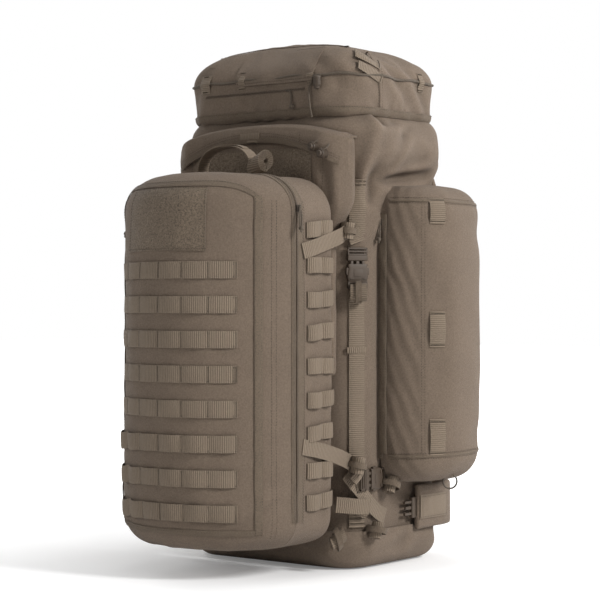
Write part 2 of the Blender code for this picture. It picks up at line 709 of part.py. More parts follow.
def make_lid_cords():
    """The shock cord laced around the lid, and its loose tail at the front."""
    reach = GAP + CORD_RADIUS
    belt = rounded_box(LID_HALF_WIDTH + reach, -LID_HALF_DEPTH - reach,
                       LID_HALF_DEPTH + reach, LID_CORNER + reach, 5)
    make_cord("lid_cord", place(belt, LID_CORD_HEIGHT), True, CORD_RADIUS, CORD)
    route = [(x, y, LID_CORD_HEIGHT - drop) for x, y, drop in LID_TAIL_BENDS]
    make_cord("lid_cord_tail", smooth_path(route, 5), False, TAIL_RADIUS, CORD)


def make_cord_lock(name, centre, along):
    """A barrel cord lock with its sprung button in a blind bore."""
    axis = Vector(along)
    turn = Vector((0, 0, 1)).rotation_difference(axis).to_matrix().to_4x4()
    frame = Matrix.Translation(centre) @ turn
    body = cylinder(name, LOCK_RADIUS, LOCK_LENGTH, 0.0, frame, PLASTIC, PARTS)
    bore_depth = BUTTON_LENGTH + GAP
    start = LOCK_LENGTH / 2 - bore_depth / 2 + 0.5 * GAP
    bore = cylinder(f"{name}_bore", BUTTON_RADIUS + GAP, bore_depth + GAP, start, frame,
                    PLASTIC, CUTTERS)
    union_with(body, bore, "DIFFERENCE")
    middle = LOCK_LENGTH / 2 + BUTTON_PROUD - BUTTON_LENGTH / 2
    cylinder(f"{name}_button", BUTTON_RADIUS, BUTTON_LENGTH, middle, frame, PLASTIC, PARTS)


def cylinder(name, radius, length, middle, frame, finish, collection):
    work = bmesh.new()
    bmesh.ops.create_cone(work, cap_ends=True, segments=16, radius1=radius, radius2=radius,
                          depth=length, matrix=frame @ Matrix.Translation((0, 0, middle)))
    return add_object(name, mesh_from_bmesh(name, work), finish, collection)


def make_cord_locks():
    lock_y = -LID_HALF_DEPTH - GAP - LOCK_RADIUS
    top = LID_CORD_HEIGHT - CORD_RADIUS - GAP
    make_cord_lock("lid_cord_lock", (0.112, lock_y, top - LOCK_LENGTH / 2), (0, 0, -1))
    face = POCKET_FRONT - 2 * GAP - FLAP_THICKNESS
    for side, x, z in (("left", 0.126, 0.648), ("right", 0.143, 0.637)):
        make_cord_lock(f"pocket_cord_lock_{side}", (x, face - LOCK_LENGTH / 2, z), (0, -1, 0))


# Build ---------------------------------------------------------------------------------
make_main_bag()
make_base_boot()
make_front_pocket()
make_pocket_flap()
make_back_system()
make_shoulder_harness()
make_hip_belt()
make_side_buckles()
make_daypack_back()
make_daypack_front()
make_webbing_rows()
make_carry_handle()
make_daypack_sliders()
make_pouches()
make_lid()
make_lid_cords()
make_cord_locks()
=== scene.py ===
# %% [markdown]
# # A large hunting rucksack
# The pack is sewn from heavy nylon cloth and webbing: a tall main bag with a floating lid, a
# daypack zipped and buckled to its front, two long side pouches, and a padded harness behind.
# The functional model is already fixed in a shared frame. This lesson makes the surfaces that
# are looked at: cloth that bulges between its seams, webbing laid on that cloth, zips, cords,
# moulded buckles and the weave of every material.

# %% Load the frame
from math import acos, copysign, cos, pi, radians, sin

import bmesh
import bpy
import numpy as np
from mathutils import Matrix, Vector
from mathutils.bvhtree import BVHTree


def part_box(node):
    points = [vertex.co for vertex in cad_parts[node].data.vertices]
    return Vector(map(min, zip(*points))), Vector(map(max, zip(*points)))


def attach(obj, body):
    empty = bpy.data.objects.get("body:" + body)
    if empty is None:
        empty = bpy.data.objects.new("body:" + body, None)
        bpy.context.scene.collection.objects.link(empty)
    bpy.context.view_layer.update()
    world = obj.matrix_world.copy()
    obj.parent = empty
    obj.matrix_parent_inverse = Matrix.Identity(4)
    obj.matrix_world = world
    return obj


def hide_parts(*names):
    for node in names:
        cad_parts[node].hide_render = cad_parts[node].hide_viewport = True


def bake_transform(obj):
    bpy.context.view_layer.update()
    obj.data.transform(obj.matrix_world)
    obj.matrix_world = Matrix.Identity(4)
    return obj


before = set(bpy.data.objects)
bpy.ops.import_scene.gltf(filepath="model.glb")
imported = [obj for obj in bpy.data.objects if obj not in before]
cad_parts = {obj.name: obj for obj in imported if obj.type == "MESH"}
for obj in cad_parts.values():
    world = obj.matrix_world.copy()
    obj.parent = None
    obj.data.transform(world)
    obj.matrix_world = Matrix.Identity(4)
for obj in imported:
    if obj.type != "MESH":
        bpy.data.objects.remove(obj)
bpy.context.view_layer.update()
SIDES = (("left", -1), ("right", 1))
RIGHT, BACK, UP = Vector((1, 0, 0)), Vector((0, 1, 0)), Vector((0, 0, 1))

# %% [markdown]
# ## Camera
# The pack is seen almost level, from a little over a third of a right angle round towards its
# side, with a long lens from three metres, so its upright lines stay nearly parallel. The
# camera comes first, because a loose cord is only right when its spread fits the view.

# %% Camera
VIEW_TURN = radians(38)
CAMERA_DISTANCE = 3.0
CAMERA_HEIGHT = 0.415
SIDESTEP = 0.0196
TOWARDS_CAMERA = Vector((sin(VIEW_TURN), -cos(VIEW_TURN), 0))
CAMERA_RIGHT = Vector((cos(VIEW_TURN), sin(VIEW_TURN), 0))


def new_object(name, data):
    made = bpy.data.objects.new(name, data)
    bpy.context.scene.collection.objects.link(made)
    return made


camera_data = bpy.data.cameras.new("camera")
camera_data.lens = 110.4
camera = new_object("camera", camera_data)
camera.location = (TOWARDS_CAMERA * CAMERA_DISTANCE - CAMERA_RIGHT * SIDESTEP
                   + Vector((0, 0, CAMERA_HEIGHT)))
camera.rotation_mode = "QUATERNION"
camera.rotation_quaternion = (-TOWARDS_CAMERA).to_track_quat("-Z", "Y")
bpy.context.scene.camera = camera
print("camera at", [round(v, 3) for v in camera.location])

# %% [markdown]
# ## Cords at their real length
# A loose cord is drawn once, from points listed along the way that gravity takes it, and a
# smooth curve is read through them; its length is printed. It leaves the lock on the lid's front
# and hangs against the cloth.

# %% A smooth curve through listed points
def smooth_path(points, steps):
    """Reads a Catmull-Rom curve through the points."""
    ends = [points[0], *points, points[-1]]
    path = []
    for corners in zip(ends, ends[1:], ends[2:], ends[3:]):
        p0, p1, p2, p3 = map(Vector, corners)
        for step in range(steps):
            t = step / steps
            path.append(0.5 * (2 * p1 + (p2 - p0) * t
                               + (2 * p0 - 5 * p1 + 4 * p2 - p3) * t * t
                               + (3 * p1 - p0 - 3 * p2 + p3) * t ** 3))
    path.append(Vector(points[-1]))
    return path


def path_length(path):
    return sum((b - a).length for a, b in zip(path, path[1:]))


def tangents(path):
    """The direction of a path at each of its points."""
    last = len(path) - 1
    return [(path[min(i + 1, last)] - path[max(i - 1, 0)]).normalized() for i in range(len(path))]


def full_turn(count):
    return np.linspace(0, 2 * pi, count, endpoint=False)


def signed_power(value, power):
    return copysign(abs(value) ** power, value)


TAIL_ROUTE = (
    (0.1031, -0.1318, 0.7540), (0.0985, -0.1330, 0.7450), (0.0975, -0.1345, 0.7330),
    (0.0990, -0.1350, 0.7200), (0.1010, -0.1350, 0.7080), (0.1040, -0.1350, 0.6960),
)
tail_path = smooth_path(TAIL_ROUTE, 5)
print("cord tail length:", round(path_length(tail_path), 4))

# %% [markdown]
# ## Shared effects
# Nylon pack cloth shows the weave itself and a slow mottling where the dye and the coating vary.
# On top of these, creases are darkened with painted shade, and ridges are lightened as rubbed wear
# with a painted highlight. Several materials need them, so each effect is a node group with named
# inputs, and each material gives it its own sizes.

# %% Node group helpers
def new_group(name, inputs, outputs):
    group = bpy.data.node_groups.new(name, "ShaderNodeTree")
    for label, kind, value in inputs:
        socket = group.interface.new_socket(label, in_out="INPUT", socket_type=kind)
        if value is not None:
            socket.default_value = value
    for label, kind in outputs:
        group.interface.new_socket(label, in_out="OUTPUT", socket_type=kind)
    return group, group.nodes.new("NodeGroupInput"), group.nodes.new("NodeGroupOutput")


def math_node(tree, operation, first, second=None):
    node = tree.nodes.new("ShaderNodeMath")
    node.operation = operation
    for socket, value in zip(node.inputs, (first, second)):
        if value is None:
            continue
        if isinstance(value, (int, float)):
            socket.default_value = value
        else:
            tree.links.new(value, socket)
    return node.outputs[0]


def noise_node(tree, vector, scale, detail=2.0, roughness=0.5):
    node = tree.nodes.new("ShaderNodeTexNoise")
    node.inputs["Detail"].default_value = detail
    node.inputs["Roughness"].default_value = roughness
    if isinstance(scale, (int, float)):
        node.inputs["Scale"].default_value = scale
    else:
        tree.links.new(scale, node.inputs["Scale"])
    tree.links.new(vector, node.inputs["Vector"])
    return node.outputs["Fac"]


# %% The weave group
def make_weave_group():
    """Plain weave on a grid of the given pitch; a ribbed tape only shows the threads across it."""
    group, enter, leave = new_group(
        "weave",
        [("Vector", "NodeSocketVector", None), ("Along", "NodeSocketFloat", 0.001),
         ("Across", "NodeSocketFloat", 0.001), ("Ribbed", "NodeSocketFloat", 0.0)],
        [("Height", "NodeSocketFloat")])
    split = group.nodes.new("ShaderNodeSeparateXYZ")
    group.links.new(enter.outputs["Vector"], split.inputs[0])
    u = math_node(group, "DIVIDE", split.outputs[0], enter.outputs["Along"])
    v = math_node(group, "DIVIDE", split.outputs[1], enter.outputs["Across"])
    ridge_u = math_node(group, "ABSOLUTE", math_node(group, "SINE", math_node(group, "MULTIPLY", u, pi)))
    ridge_v = math_node(group, "ABSOLUTE", math_node(group, "SINE", math_node(group, "MULTIPLY", v, pi)))
    cell = math_node(group, "ADD", math_node(group, "FLOOR", u), math_node(group, "FLOOR", v))
    plain = math_node(group, "SUBTRACT", 1.0, enter.outputs["Ribbed"])
    over = math_node(group, "MULTIPLY", math_node(group, "PINGPONG", cell, 1.0), plain)
    under = math_node(group, "SUBTRACT", 1.0, over)
    height = math_node(group, "ADD", math_node(group, "MULTIPLY", ridge_u, over),
                       math_node(group, "MULTIPLY", ridge_v, under))
    group.links.new(height, leave.inputs["Height"])
    return group


def make_mottle_group():
    """Slow and fine variation of tone around 1, on solid coordinates."""
    group, enter, leave = new_group(
        "mottle",
        [("Vector", "NodeSocketVector", None), ("Slow", "NodeSocketFloat", 0.10),
         ("Fine", "NodeSocketFloat", 0.12), ("Fine Scale", "NodeSocketFloat", 700.0)],
        [("Tone", "NodeSocketFloat")])
    vector = enter.outputs["Vector"]
    slow = math_node(group, "SUBTRACT", noise_node(group, vector, 14.0, 3.0), 0.5)
    fine_noise = noise_node(group, vector, enter.outputs["Fine Scale"], 2.0, 0.7)
    fine = math_node(group, "SUBTRACT", fine_noise, 0.5)
    tone = math_node(group, "ADD", math_node(group, "MULTIPLY", slow, enter.outputs["Slow"]),
                     math_node(group, "MULTIPLY", fine, enter.outputs["Fine"]))
    group.links.new(math_node(group, "ADD", tone, 1.0), leave.inputs["Tone"])
    return group


def make_crease_shade_group():
    """Turns the crease attribute into painted shade: valleys darker, ridges lighter as rubbed wear with
    a painted highlight.
    """
    group, enter, leave = new_group(
        "crease_tone",
        [("Crease", "NodeSocketFloat", 0.0), ("Valley", "NodeSocketFloat", 0.35),
         ("Ridge", "NodeSocketFloat", 0.15)],
        [("Tone", "NodeSocketFloat")])
    valley = math_node(group, "MINIMUM", enter.outputs["Crease"], 0.0)
    ridge = math_node(group, "MAXIMUM", enter.outputs["Crease"], 0.0)
    tone = math_node(group, "ADD", math_node(group, "MULTIPLY", valley, enter.outputs["Valley"]),
                     math_node(group, "MULTIPLY", ridge, enter.outputs["Ridge"]))
    group.links.new(math_node(group, "ADD", tone, 1.0), leave.inputs["Tone"])
    return group


WEAVE, MOTTLE, CREASE_SHADE = make_weave_group(), make_mottle_group(), make_crease_shade_group()
print("shared effects:", [g.name for g in (WEAVE, MOTTLE, CREASE_SHADE)])

# %% [markdown]
# ## Materials
# Every cloth-like finish is one recipe with different values: the weave follows the piece's
# own UV map, which is in metres, so threads have their real size on every piece. The mottling
# reads Object coordinates, so it runs on from piece to piece without a seam.

# %% Cloth recipe
def group_node(tree, group, **values):
    node = tree.nodes.new("ShaderNodeGroup")
    node.node_tree = group
    for label, value in values.items():
        node.inputs[label.replace("_", " ")].default_value = value
    return node


def start_material(name, colour, roughness, metallic=0.0):
    made = bpy.data.materials.new(name)
    made.use_nodes = True
    shader = made.node_tree.nodes["Principled BSDF"]
    shader.inputs["Base Color"].default_value = (*colour, 1.0)
    shader.inputs["Roughness"].default_value = roughness
    shader.inputs["Metallic"].default_value = metallic
    return made, made.node_tree, shader


def tinted(tree, colour, *tones):
    """Multiplies a colour by each tone in turn."""
    mixed = None
    for tone in tones:
        node = tree.nodes.new("ShaderNodeMix")
        node.data_type = "RGBA"
        node.blend_type = "MULTIPLY"
        node.inputs["Factor"].default_value = 1.0
        if mixed is None:
            node.inputs[6].default_value = (*colour, 1.0)
        else:
            tree.links.new(mixed, node.inputs[6])
        tree.links.new(tone, node.inputs[7])
        mixed = node.outputs[2]
    return mixed


def add_mottle(tree, slow, fine, fine_scale):
    """Mottling on solid coordinates."""
    place = tree.nodes.new("ShaderNodeTexCoord")
    mottle = group_node(tree, MOTTLE, Slow=slow, Fine=fine, Fine_Scale=fine_scale)
    tree.links.new(place.outputs["Object"], mottle.inputs["Vector"])
    return place, mottle.outputs["Tone"]


def add_relief(tree, shader, height, strength, distance):
    relief = tree.nodes.new("ShaderNodeBump")
    relief.inputs["Strength"].default_value = strength
    relief.inputs["Distance"].default_value = distance
    tree.links.new(height, relief.inputs["Height"])
    tree.links.new(relief.outputs["Normal"], shader.inputs["Normal"])


def cloth_material(name, colour, along, across, bump, roughness=0.85, fine=0.85,
                   fine_scale=430.0, sheen=0.06, ribbed=0.0):
    """Woven cloth whose threads have the pitch given along and across, in metres."""
    made, tree, shader = start_material(name, colour, roughness)
    shader.inputs["Specular IOR Level"].default_value = 0.25
    shader.inputs["Sheen Weight"].default_value = sheen
    shader.inputs["Sheen Roughness"].default_value = 0.5
    place, mottle_tone = add_mottle(tree, 0.20, fine, fine_scale)
    weave = group_node(tree, WEAVE, Along=along, Across=across, Ribbed=ribbed)
    tree.links.new(place.outputs["UV"], weave.inputs["Vector"])
    attribute = tree.nodes.new("ShaderNodeAttribute")
    attribute.attribute_name = "crease"
    # Painted shade: valleys darkened, ridges lightened as rubbed wear with a painted highlight.
    crease = group_node(tree, CREASE_SHADE, Valley=0.24, Ridge=0.14)
    tree.links.new(attribute.outputs["Fac"], crease.inputs["Crease"])
    thread_tone = math_node(tree, "MULTIPLY", weave.outputs["Height"], 0.30)
    thread_tone = math_node(tree, "ADD", thread_tone, 0.82)
    colour_out = tinted(tree, colour, mottle_tone, crease.outputs["Tone"], thread_tone)
    tree.links.new(colour_out, shader.inputs["Base Color"])
    add_relief(tree, shader, weave.outputs["Height"], bump, min(along, across) * 0.35)
    return made


def moulded_material(name, colour, roughness, metallic=0.0):
    """Moulded plastic or metal with a fine grain."""
    made, tree, shader = start_material(name, colour, roughness, metallic)
    _, tone = add_mottle(tree, 0.20, 0.10, 2500.0)
    tree.links.new(tinted(tree, colour, tone), shader.inputs["Base Color"])
    add_relief(tree, shader, tone, 0.5, 0.00005)
    rough = math_node(tree, "MULTIPLY", tone, roughness)
    tree.links.new(rough, shader.inputs["Roughness"])
    return made


# %% The pack's own finishes
PACK_COLOUR = (0.176, 0.132, 0.097)
CLOTH = cloth_material("pack_cloth", PACK_COLOUR, 0.0011, 0.0011, 0.8)
CLOTH_DARK = cloth_material("pack_cloth_lining", (0.100, 0.077, 0.055), 0.0008, 0.0008, 0.6)
TAPE = cloth_material("webbing", (0.196, 0.151, 0.109), 0.0022, 0.0032, 1.0, 0.75, fine=0.40,
                      ribbed=1.0)
BINDING = cloth_material("binding_tape", (0.148, 0.112, 0.080), 0.0008, 0.0016, 0.9, 0.80)
LOOP_PILE = cloth_material("loop_pile", (0.158, 0.121, 0.087), 0.0019, 0.0016, 0.5, 0.95,
                           fine=2.2, fine_scale=420.0, sheen=0.15)
MESH_PAD = cloth_material("spacer_mesh", (0.150, 0.118, 0.090), 0.0032, 0.0032, 1.0, 0.95)
# Real thread, but its colour is darker than the cloth's as painted shade along the seam lines.
SEAM_SHADE_THREAD = cloth_material("sewing_thread", (0.088, 0.067, 0.049), 0.0006, 0.0006, 0.8, 0.70)
ZIP_COIL = cloth_material("zip_coil", (0.150, 0.116, 0.088), 0.0012, 0.0009, 0.9, 0.55)
CORD_BRAID = cloth_material("shock_cord", (0.120, 0.094, 0.070), 0.0011, 0.0009, 1.0, 0.75)
BUCKLE = moulded_material("moulded_buckle", (0.070, 0.049, 0.033), 0.60)
SHEET = moulded_material("frame_sheet_plastic", (0.030, 0.030, 0.030), 0.50)
ALUMINIUM = moulded_material("stay_aluminium", (0.700, 0.700, 0.710), 0.35, 1.0)
PAINTED_METAL = moulded_material("slider_metal", (0.085, 0.068, 0.054), 0.45, 0.6)

# %% [markdown]
# ## Skins
# A sewn panel is easiest to think of as a grid: rows go up the pack and columns go round it.
# The grid keeps its own UV map in metres, a crease value for the shading, and a search tree,
# so that webbing, tape and zips can be laid on the cloth exactly where it ended up.

# %% Making a piece
def finish_mesh(mesh, angle=40):
    mesh.shade_smooth()
    mesh.set_sharp_from_angle(angle=radians(angle))


def add_piece(name, mesh, finish, body, replaces=(), angle=40):
    """Links a finished mesh as a piece that rides on a body, or on none."""
    piece = new_object(name, mesh)
    mesh.materials.clear()
    mesh.materials.append(finish)
    finish_mesh(mesh, angle)
    if body:
        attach(piece, body)
    if replaces:
        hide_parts(*replaces)
    return piece


def settle_modifiers(piece):
    """Writes a piece's modifiers into its mesh."""
    tree = bpy.context.evaluated_depsgraph_get()
    mesh = bpy.data.meshes.new_from_object(piece.evaluated_get(tree), depsgraph=tree)
    piece.modifiers.clear()
    old = piece.data
    piece.data = mesh
    bpy.data.meshes.remove(old)
    mesh.name = piece.name


def grid_mesh(name, grid, closed=False):
    """A quad mesh over a grid of points, rows by columns, with a UV map in metres."""
    grid = np.asarray(grid, float)
    rows, columns = grid.shape[:2]
    mesh = bpy.data.meshes.new(name)
    index = np.arange(rows * columns).reshape(rows, columns)
    across = columns if closed else columns - 1
    right = np.roll(index, -1, axis=1)
    quads = np.stack([index[:-1, :across], right[:-1, :across],
                      right[1:, :across], index[1:, :across]], axis=-1).reshape(-1, 4)
    mesh.from_pydata(grid.reshape(-1, 3), [], quads.tolist())
    middle = grid[rows // 2]
    run = np.linalg.norm(np.diff(middle, axis=0), axis=1)
    u = np.concatenate([[0], np.cumsum(run)])
    centre = grid[:, columns // 2]
    v = np.concatenate([[0], np.cumsum(np.linalg.norm(np.diff(centre, axis=0), axis=1))])
    uv = mesh.uv_layers.new(name="cloth")
    corner_vertex = read_values(mesh.loops, "vertex_index", 1, int).ravel()
    wrap = u[-1] + (run[-1] if len(run) else 0)
    column = corner_vertex % columns
    corner_u = u[column]
    if closed:
        quad_columns = np.repeat(np.tile(np.arange(across), rows - 1), 4)
        corner_u = np.where((quad_columns == columns - 1) & (column == 0), wrap, corner_u)
    uv.data.foreach_set("uv", np.stack([corner_u, v[corner_vertex // columns]], axis=1).ravel())
    mesh.update()
    return mesh


# %% Reading and writing points, and search trees
def read_values(items, name, width, kind=float):
    """One value of every item, as rows of the given width."""
    values = np.empty(len(items) * width, kind)
    items.foreach_get(name, values)
    return values.reshape(-1, width)


def points_of(mesh):
    return read_values(mesh.vertices, "co", 3)


def set_points(mesh, points):
    mesh.vertices.foreach_set("co", np.ascontiguousarray(points, float).ravel())
    mesh.update()


def normals_of(mesh):
    return read_values(mesh.vertex_normals, "vector", 3)


def edges_of(mesh):
    return read_values(mesh.edges, "vertices", 2, int)


def neighbour_mean(values, edges, rounds=1):
    """Averages values over each vertex's neighbours."""
    count = np.bincount(edges.ravel(), minlength=len(values)).clip(1)
    for _ in range(rounds):
        total = np.zeros_like(values)
        np.add.at(total, edges[:, 0], values[edges[:, 1]])
        np.add.at(total, edges[:, 1], values[edges[:, 0]])
        values = total / (count if values.ndim == 1 else count[:, None])
    return values


CREASE_REACH, CREASE_DEPTH = 10, 0.0018


# The crease value stored here drives the painted shade in valleys and the painted highlight on ridges.
def mark_creases(mesh):
    """Stores how far each point stands above or below its smoothed surroundings."""
    points, edges = points_of(mesh), edges_of(mesh)
    smooth = neighbour_mean(points, edges, CREASE_REACH)
    height = np.einsum("ij,ij->i", points - smooth, normals_of(mesh))
    height -= neighbour_mean(height, edges, CREASE_REACH * 3)
    attribute = mesh.attributes.get("crease") or mesh.attributes.new("crease", "FLOAT", "POINT")
    attribute.data.foreach_set("value", np.clip(height / CREASE_DEPTH, -1, 1).astype(np.float32))


def map_by_facing(mesh):
    """A UV map in metres for a mesh with no grid, each face mapped along its main direction."""
    points, layer = points_of(mesh), mesh.uv_layers.new(name="cloth")
    corner = read_values(mesh.loops, "vertex_index", 1, int).ravel()
    facing = read_values(mesh.polygons, "normal", 3)
    sizes = read_values(mesh.polygons, "loop_total", 1, int).ravel()
    kept = np.array([[1, 2], [0, 2], [0, 1]])[np.abs(facing).argmax(axis=1)]
    flat = np.take_along_axis(points[corner], np.repeat(kept, sizes, axis=0), axis=1)
    layer.data.foreach_set("uv", flat.ravel())


def search_tree(*pieces):
    vertices, faces = [], []
    for piece in pieces:
        start = len(vertices)
        vertices += [v.co.copy() for v in piece.data.vertices]
        faces += [[start + i for i in p.vertices] for p in piece.data.polygons]
    return BVHTree.FromPolygons(vertices, faces)


# %% [markdown]
# ## Cloth that fills out
# Sewn cloth is held along its seams and pushed out by what is inside. The simulation here does
# just that: the seam points are pinned, the rest of the panel is a little larger than its
# pattern and gets a small pressure, so it bulges and wrinkles by itself. How far a point may
# move is capped, so that the panel keeps to the size it was designed for.

# %% Cloth simulation
STIFFNESS = 12.0


def fill_out(piece, pinned, pressure=3.0, spare=0.02, frames=16, cap=0.010):
    """Runs cloth on a panel with pinned points and writes the result into its mesh."""
    scene = bpy.context.scene
    group = piece.vertex_groups.new(name="pinned")
    group.add([int(i) for i in np.flatnonzero(pinned)], 1.0, "REPLACE")
    cloth = piece.modifiers.new("cloth", "CLOTH")
    settings = cloth.settings
    settings.vertex_group_mass = "pinned"
    settings.quality = 5
    settings.mass = 0.25
    settings.tension_stiffness = settings.compression_stiffness = STIFFNESS
    settings.shear_stiffness = STIFFNESS / 2
    settings.bending_stiffness = 0.4
    settings.use_pressure = True
    settings.uniform_pressure_force = pressure
    settings.shrink_min = -spare
    settings.effector_weights.gravity = 0.0
    cloth.collision_settings.use_collision = False
    cloth.collision_settings.use_self_collision = False
    cloth.point_cache.frame_start = 1
    cloth.point_cache.frame_end = frames
    rest = points_of(piece.data)
    for number in range(1, frames + 1):
        scene.frame_set(number)
    tree = bpy.context.evaluated_depsgraph_get()
    moved = points_of(piece.evaluated_get(tree).data) - rest
    piece.modifiers.clear()
    piece.vertex_groups.clear()
    scene.frame_set(1)
    moved = neighbour_mean(moved, edges_of(piece.data), 5)
    reach = np.linalg.norm(moved, axis=1)
    moved *= (cap * np.tanh(reach / cap) / reach.clip(1e-9))[:, None]
    set_points(piece.data, rest + moved)
    print(f"{piece.name}: cloth moved up to {reach.max() * 1000:.1f} mm, kept {cap * 1000:.0f}")


def refine(piece, levels=1, wall=0.0):
    """Subdivides a panel, marks its creases, and gives it an inner face."""
    finer = piece.modifiers.new("finer", "SUBSURF")
    finer.levels = finer.render_levels = levels
    settle_modifiers(piece)
    mark_creases(piece.data)
    if wall:
        thick = piece.modifiers.new("wall", "SOLIDIFY")
        thick.thickness = wall
        thick.offset = -1.0
        settle_modifiers(piece)
    finish_mesh(piece.data, 60)


def settle_skin(piece, points, wall=0.0):
    """Gives a skin its final points, then its finer grid and its inner face."""
    set_points(piece.data, points)
    refine(piece, 1, wall)


# %% Folds listed one by one
def ridge_noise(points, scale, seed):
    """Smooth solid noise in [-1, 1] from a few crossed sine waves."""
    x, y, z = (points * scale).T
    shift = seed * 1.7
    return (np.sin(x * 1.9 + 1.3 * np.sin(y * 1.1 + shift) + shift)
            * np.sin(y * 2.3 + 1.1 * np.sin(z * 1.3 - shift) + 0.7 * shift)
            + np.sin(z * 2.1 + 1.2 * np.sin(x * 0.9 + shift) - shift)
            * np.sin(x * 1.2 - y * 0.7 + z * 1.5 + shift)) / 2


def crumple(points, scale, seed):
    """Cloth-like relief in about [-1, 1]: sharp crests along the zero lines of the smooth noise."""
    soft = ridge_noise(points, scale, seed)
    crest = 1 - 2.6 * np.abs(soft).clip(0, 0.7)
    return 0.35 * ridge_noise(points, scale * 0.7, seed + 4) + 0.65 * crest


def press_folds(points, normals, folds):
    """Presses folds into a skin: each runs between two points and has a width and a depth."""
    points = points.copy()
    for start, end, width, depth in folds:
        a, b = np.array(start), np.array(end)
        line = b - a
        t = np.clip(((points - a) @ line) / (line @ line), 0, 1)
        gap = points - (a + t[:, None] * line)
        side = np.cross(line / np.linalg.norm(line), normals)
        signed = np.einsum("ij,ij->i", gap, side)
        off = np.linalg.norm(gap, axis=1) / width
        bank = np.exp(-((signed / width - 1.5) ** 2) - (off - 1.5).clip(0) ** 2)
        profile = np.exp(-off ** 2) - 0.55 * bank
        ends = np.sin(pi * np.clip(t, 0.02, 0.98)) ** 0.5
        points -= normals * (depth * profile * ends)[:, None]
    return points


# %% [markdown]
# ## Outlines and profiles
# Seen from above, the bag, the lid and the boot are rounded boxes, the daypack's front is part
# of a circle, and a pouch is half a squared oval. Seen from the side, each one has a profile of
# heights and insets. An outline times a profile gives the grid of a skin, and the top and
# bottom are filled by shrinking the last outline towards one point.

# %% Outline and profile helpers
def evenly(points, count, closed=False):
    """Spaces points evenly along a line."""
    points = np.asarray(points, float)
    if closed:
        points = np.vstack([points, points[:1]])
    run = np.concatenate([[0], np.cumsum(np.linalg.norm(np.diff(points, axis=0), axis=1))])
    marks = np.linspace(0, run[-1], count + 1 if closed else count)
    if closed:
        marks = marks[:-1]
    return np.stack([np.interp(marks, run, points[:, k]) for k in range(points.shape[1])], axis=1)


def rounded_box(half_width, front, back, corner, steps=10):
    """A rounded box from above, from the middle of its back, anticlockwise."""
    corner = max(corner, 0.002)
    turns = np.linspace(0, pi / 2, steps)
    points = [(0, back)]
    for sx, sy, start in ((-1, 1, pi / 2), (-1, -1, pi), (1, -1, 1.5 * pi), (1, 1, 0.0)):
        cx = sx * (half_width - corner)
        cy = (back - corner) if sy > 0 else (front + corner)
        points += [(cx + corner * cos(start + t), cy + corner * sin(start + t)) for t in turns]
    return points


def quarter_rows(bottom, top, edge_bottom, edge_top, pitch):
    """Heights and insets up a wall whose two edges are quarter circles."""
    rows = []
    if edge_bottom:
        for t in np.linspace(0, pi / 2, max(3, int(edge_bottom * 1.57 / pitch)))[:-1]:
            rows.append((bottom + edge_bottom * (1 - cos(t)), edge_bottom * (1 - sin(t))))
    straight = top - bottom - edge_bottom - edge_top
    for z in np.linspace(bottom + edge_bottom, top - edge_top, max(2, int(straight / pitch))):
        rows.append((z, 0.0))
    if edge_top:
        for t in np.linspace(0, pi / 2, max(3, int(edge_top * 1.57 / pitch)))[1:]:
            rows.append((top - edge_top * (1 - sin(t)), edge_top * (1 - cos(t))))
    return rows


def cap_rows(ring, centre, height, count, crown=0.0):
    """Rings that shrink from a ring to a centre, with a little crown."""
    rows = []
    for s in np.linspace(1, 0.03, count)[1:]:
        flat = np.array(centre) + s * (ring[:, :2] - np.array(centre))
        rows.append(np.column_stack([flat, np.full(len(flat), height + crown * (1 - s ** 2))]))
    return rows


def skin_grid(outline, levels, columns, closed, centre, bottom_cap=True, top_cap=True, pitch=0.007,
              crown=0.004):
    """A grid from outline(inset, height) over the levels, with its caps."""
    rows = []
    for height, inset in levels:
        flat = evenly(outline(inset, height), columns, closed)
        rows.append(np.column_stack([flat, np.full(len(flat), height)]))
    radius = float(np.linalg.norm(rows[0][:, :2] - np.array(centre), axis=1).max())
    caps = max(4, int(radius / pitch))
    if bottom_cap:
        rows = cap_rows(rows[0], centre, levels[0][0], caps, -crown * 0.25)[::-1] + rows
    if top_cap:
        rows = rows + cap_rows(rows[-1], centre, levels[-1][0], caps, crown)
    return np.array(rows)


def skin_piece(name, grid, closed, finish, body, replaces, poles=True):
    """A skin from a grid, its poles closed and its faces turned outwards."""
    mesh = grid_mesh(name, grid, closed)
    work = bmesh.new()
    work.from_mesh(mesh)
    middle = sum((v.co for v in work.verts), Vector()) / len(work.verts)
    if sum((f.calc_center_median() - middle).dot(f.normal) * f.calc_area() for f in work.faces) < 0:
        bmesh.ops.reverse_faces(work, faces=work.faces)
    if poles:
        rows, columns = grid.shape[:2]
        work.verts.ensure_lookup_table()
        if closed:
            for start in (0, (rows - 1) * columns):
                ring = [work.verts[start + i] for i in range(columns)]
                if (ring[0].co - ring[columns // 2].co).length < 0.03:
                    face = bmesh.ops.contextual_create(work, geom=ring)["faces"]
                    for made in face:
                        outward = made.calc_center_median() - middle
                        if made.normal.dot(outward) < 0:
                            made.normal_flip()
    work.to_mesh(mesh)
    work.free()
    return add_piece(name, mesh, finish, body, replaces)


# %% [markdown]
# ## The daypack
# It is the largest face of the pack: a front panel bowed from side to side, held flat by rows
# of webbing, and a back half with the bottom, top and sides. The two halves meet at a zip. The
# front opens by tipping forwards about the bottom seam, so each half is its own piece.

# %% Daypack sizes
DAYPACK_RADIUS = 0.1690
DAYPACK_SPLIT = -0.2470
SPLIT_DEPTH = 0.052            # from the centre of the bow forward to the split
DAYPACK_CENTRE = DAYPACK_SPLIT + SPLIT_DEPTH
DAYPACK_BACK = -0.1466
DAYPACK_BOTTOM, DAYPACK_TOP = 0.045, 0.605
DAYPACK_REACH = acos(SPLIT_DEPTH / DAYPACK_RADIUS)
CLOTH_PITCH = 0.0068
SKIN_WALL = 0.0022


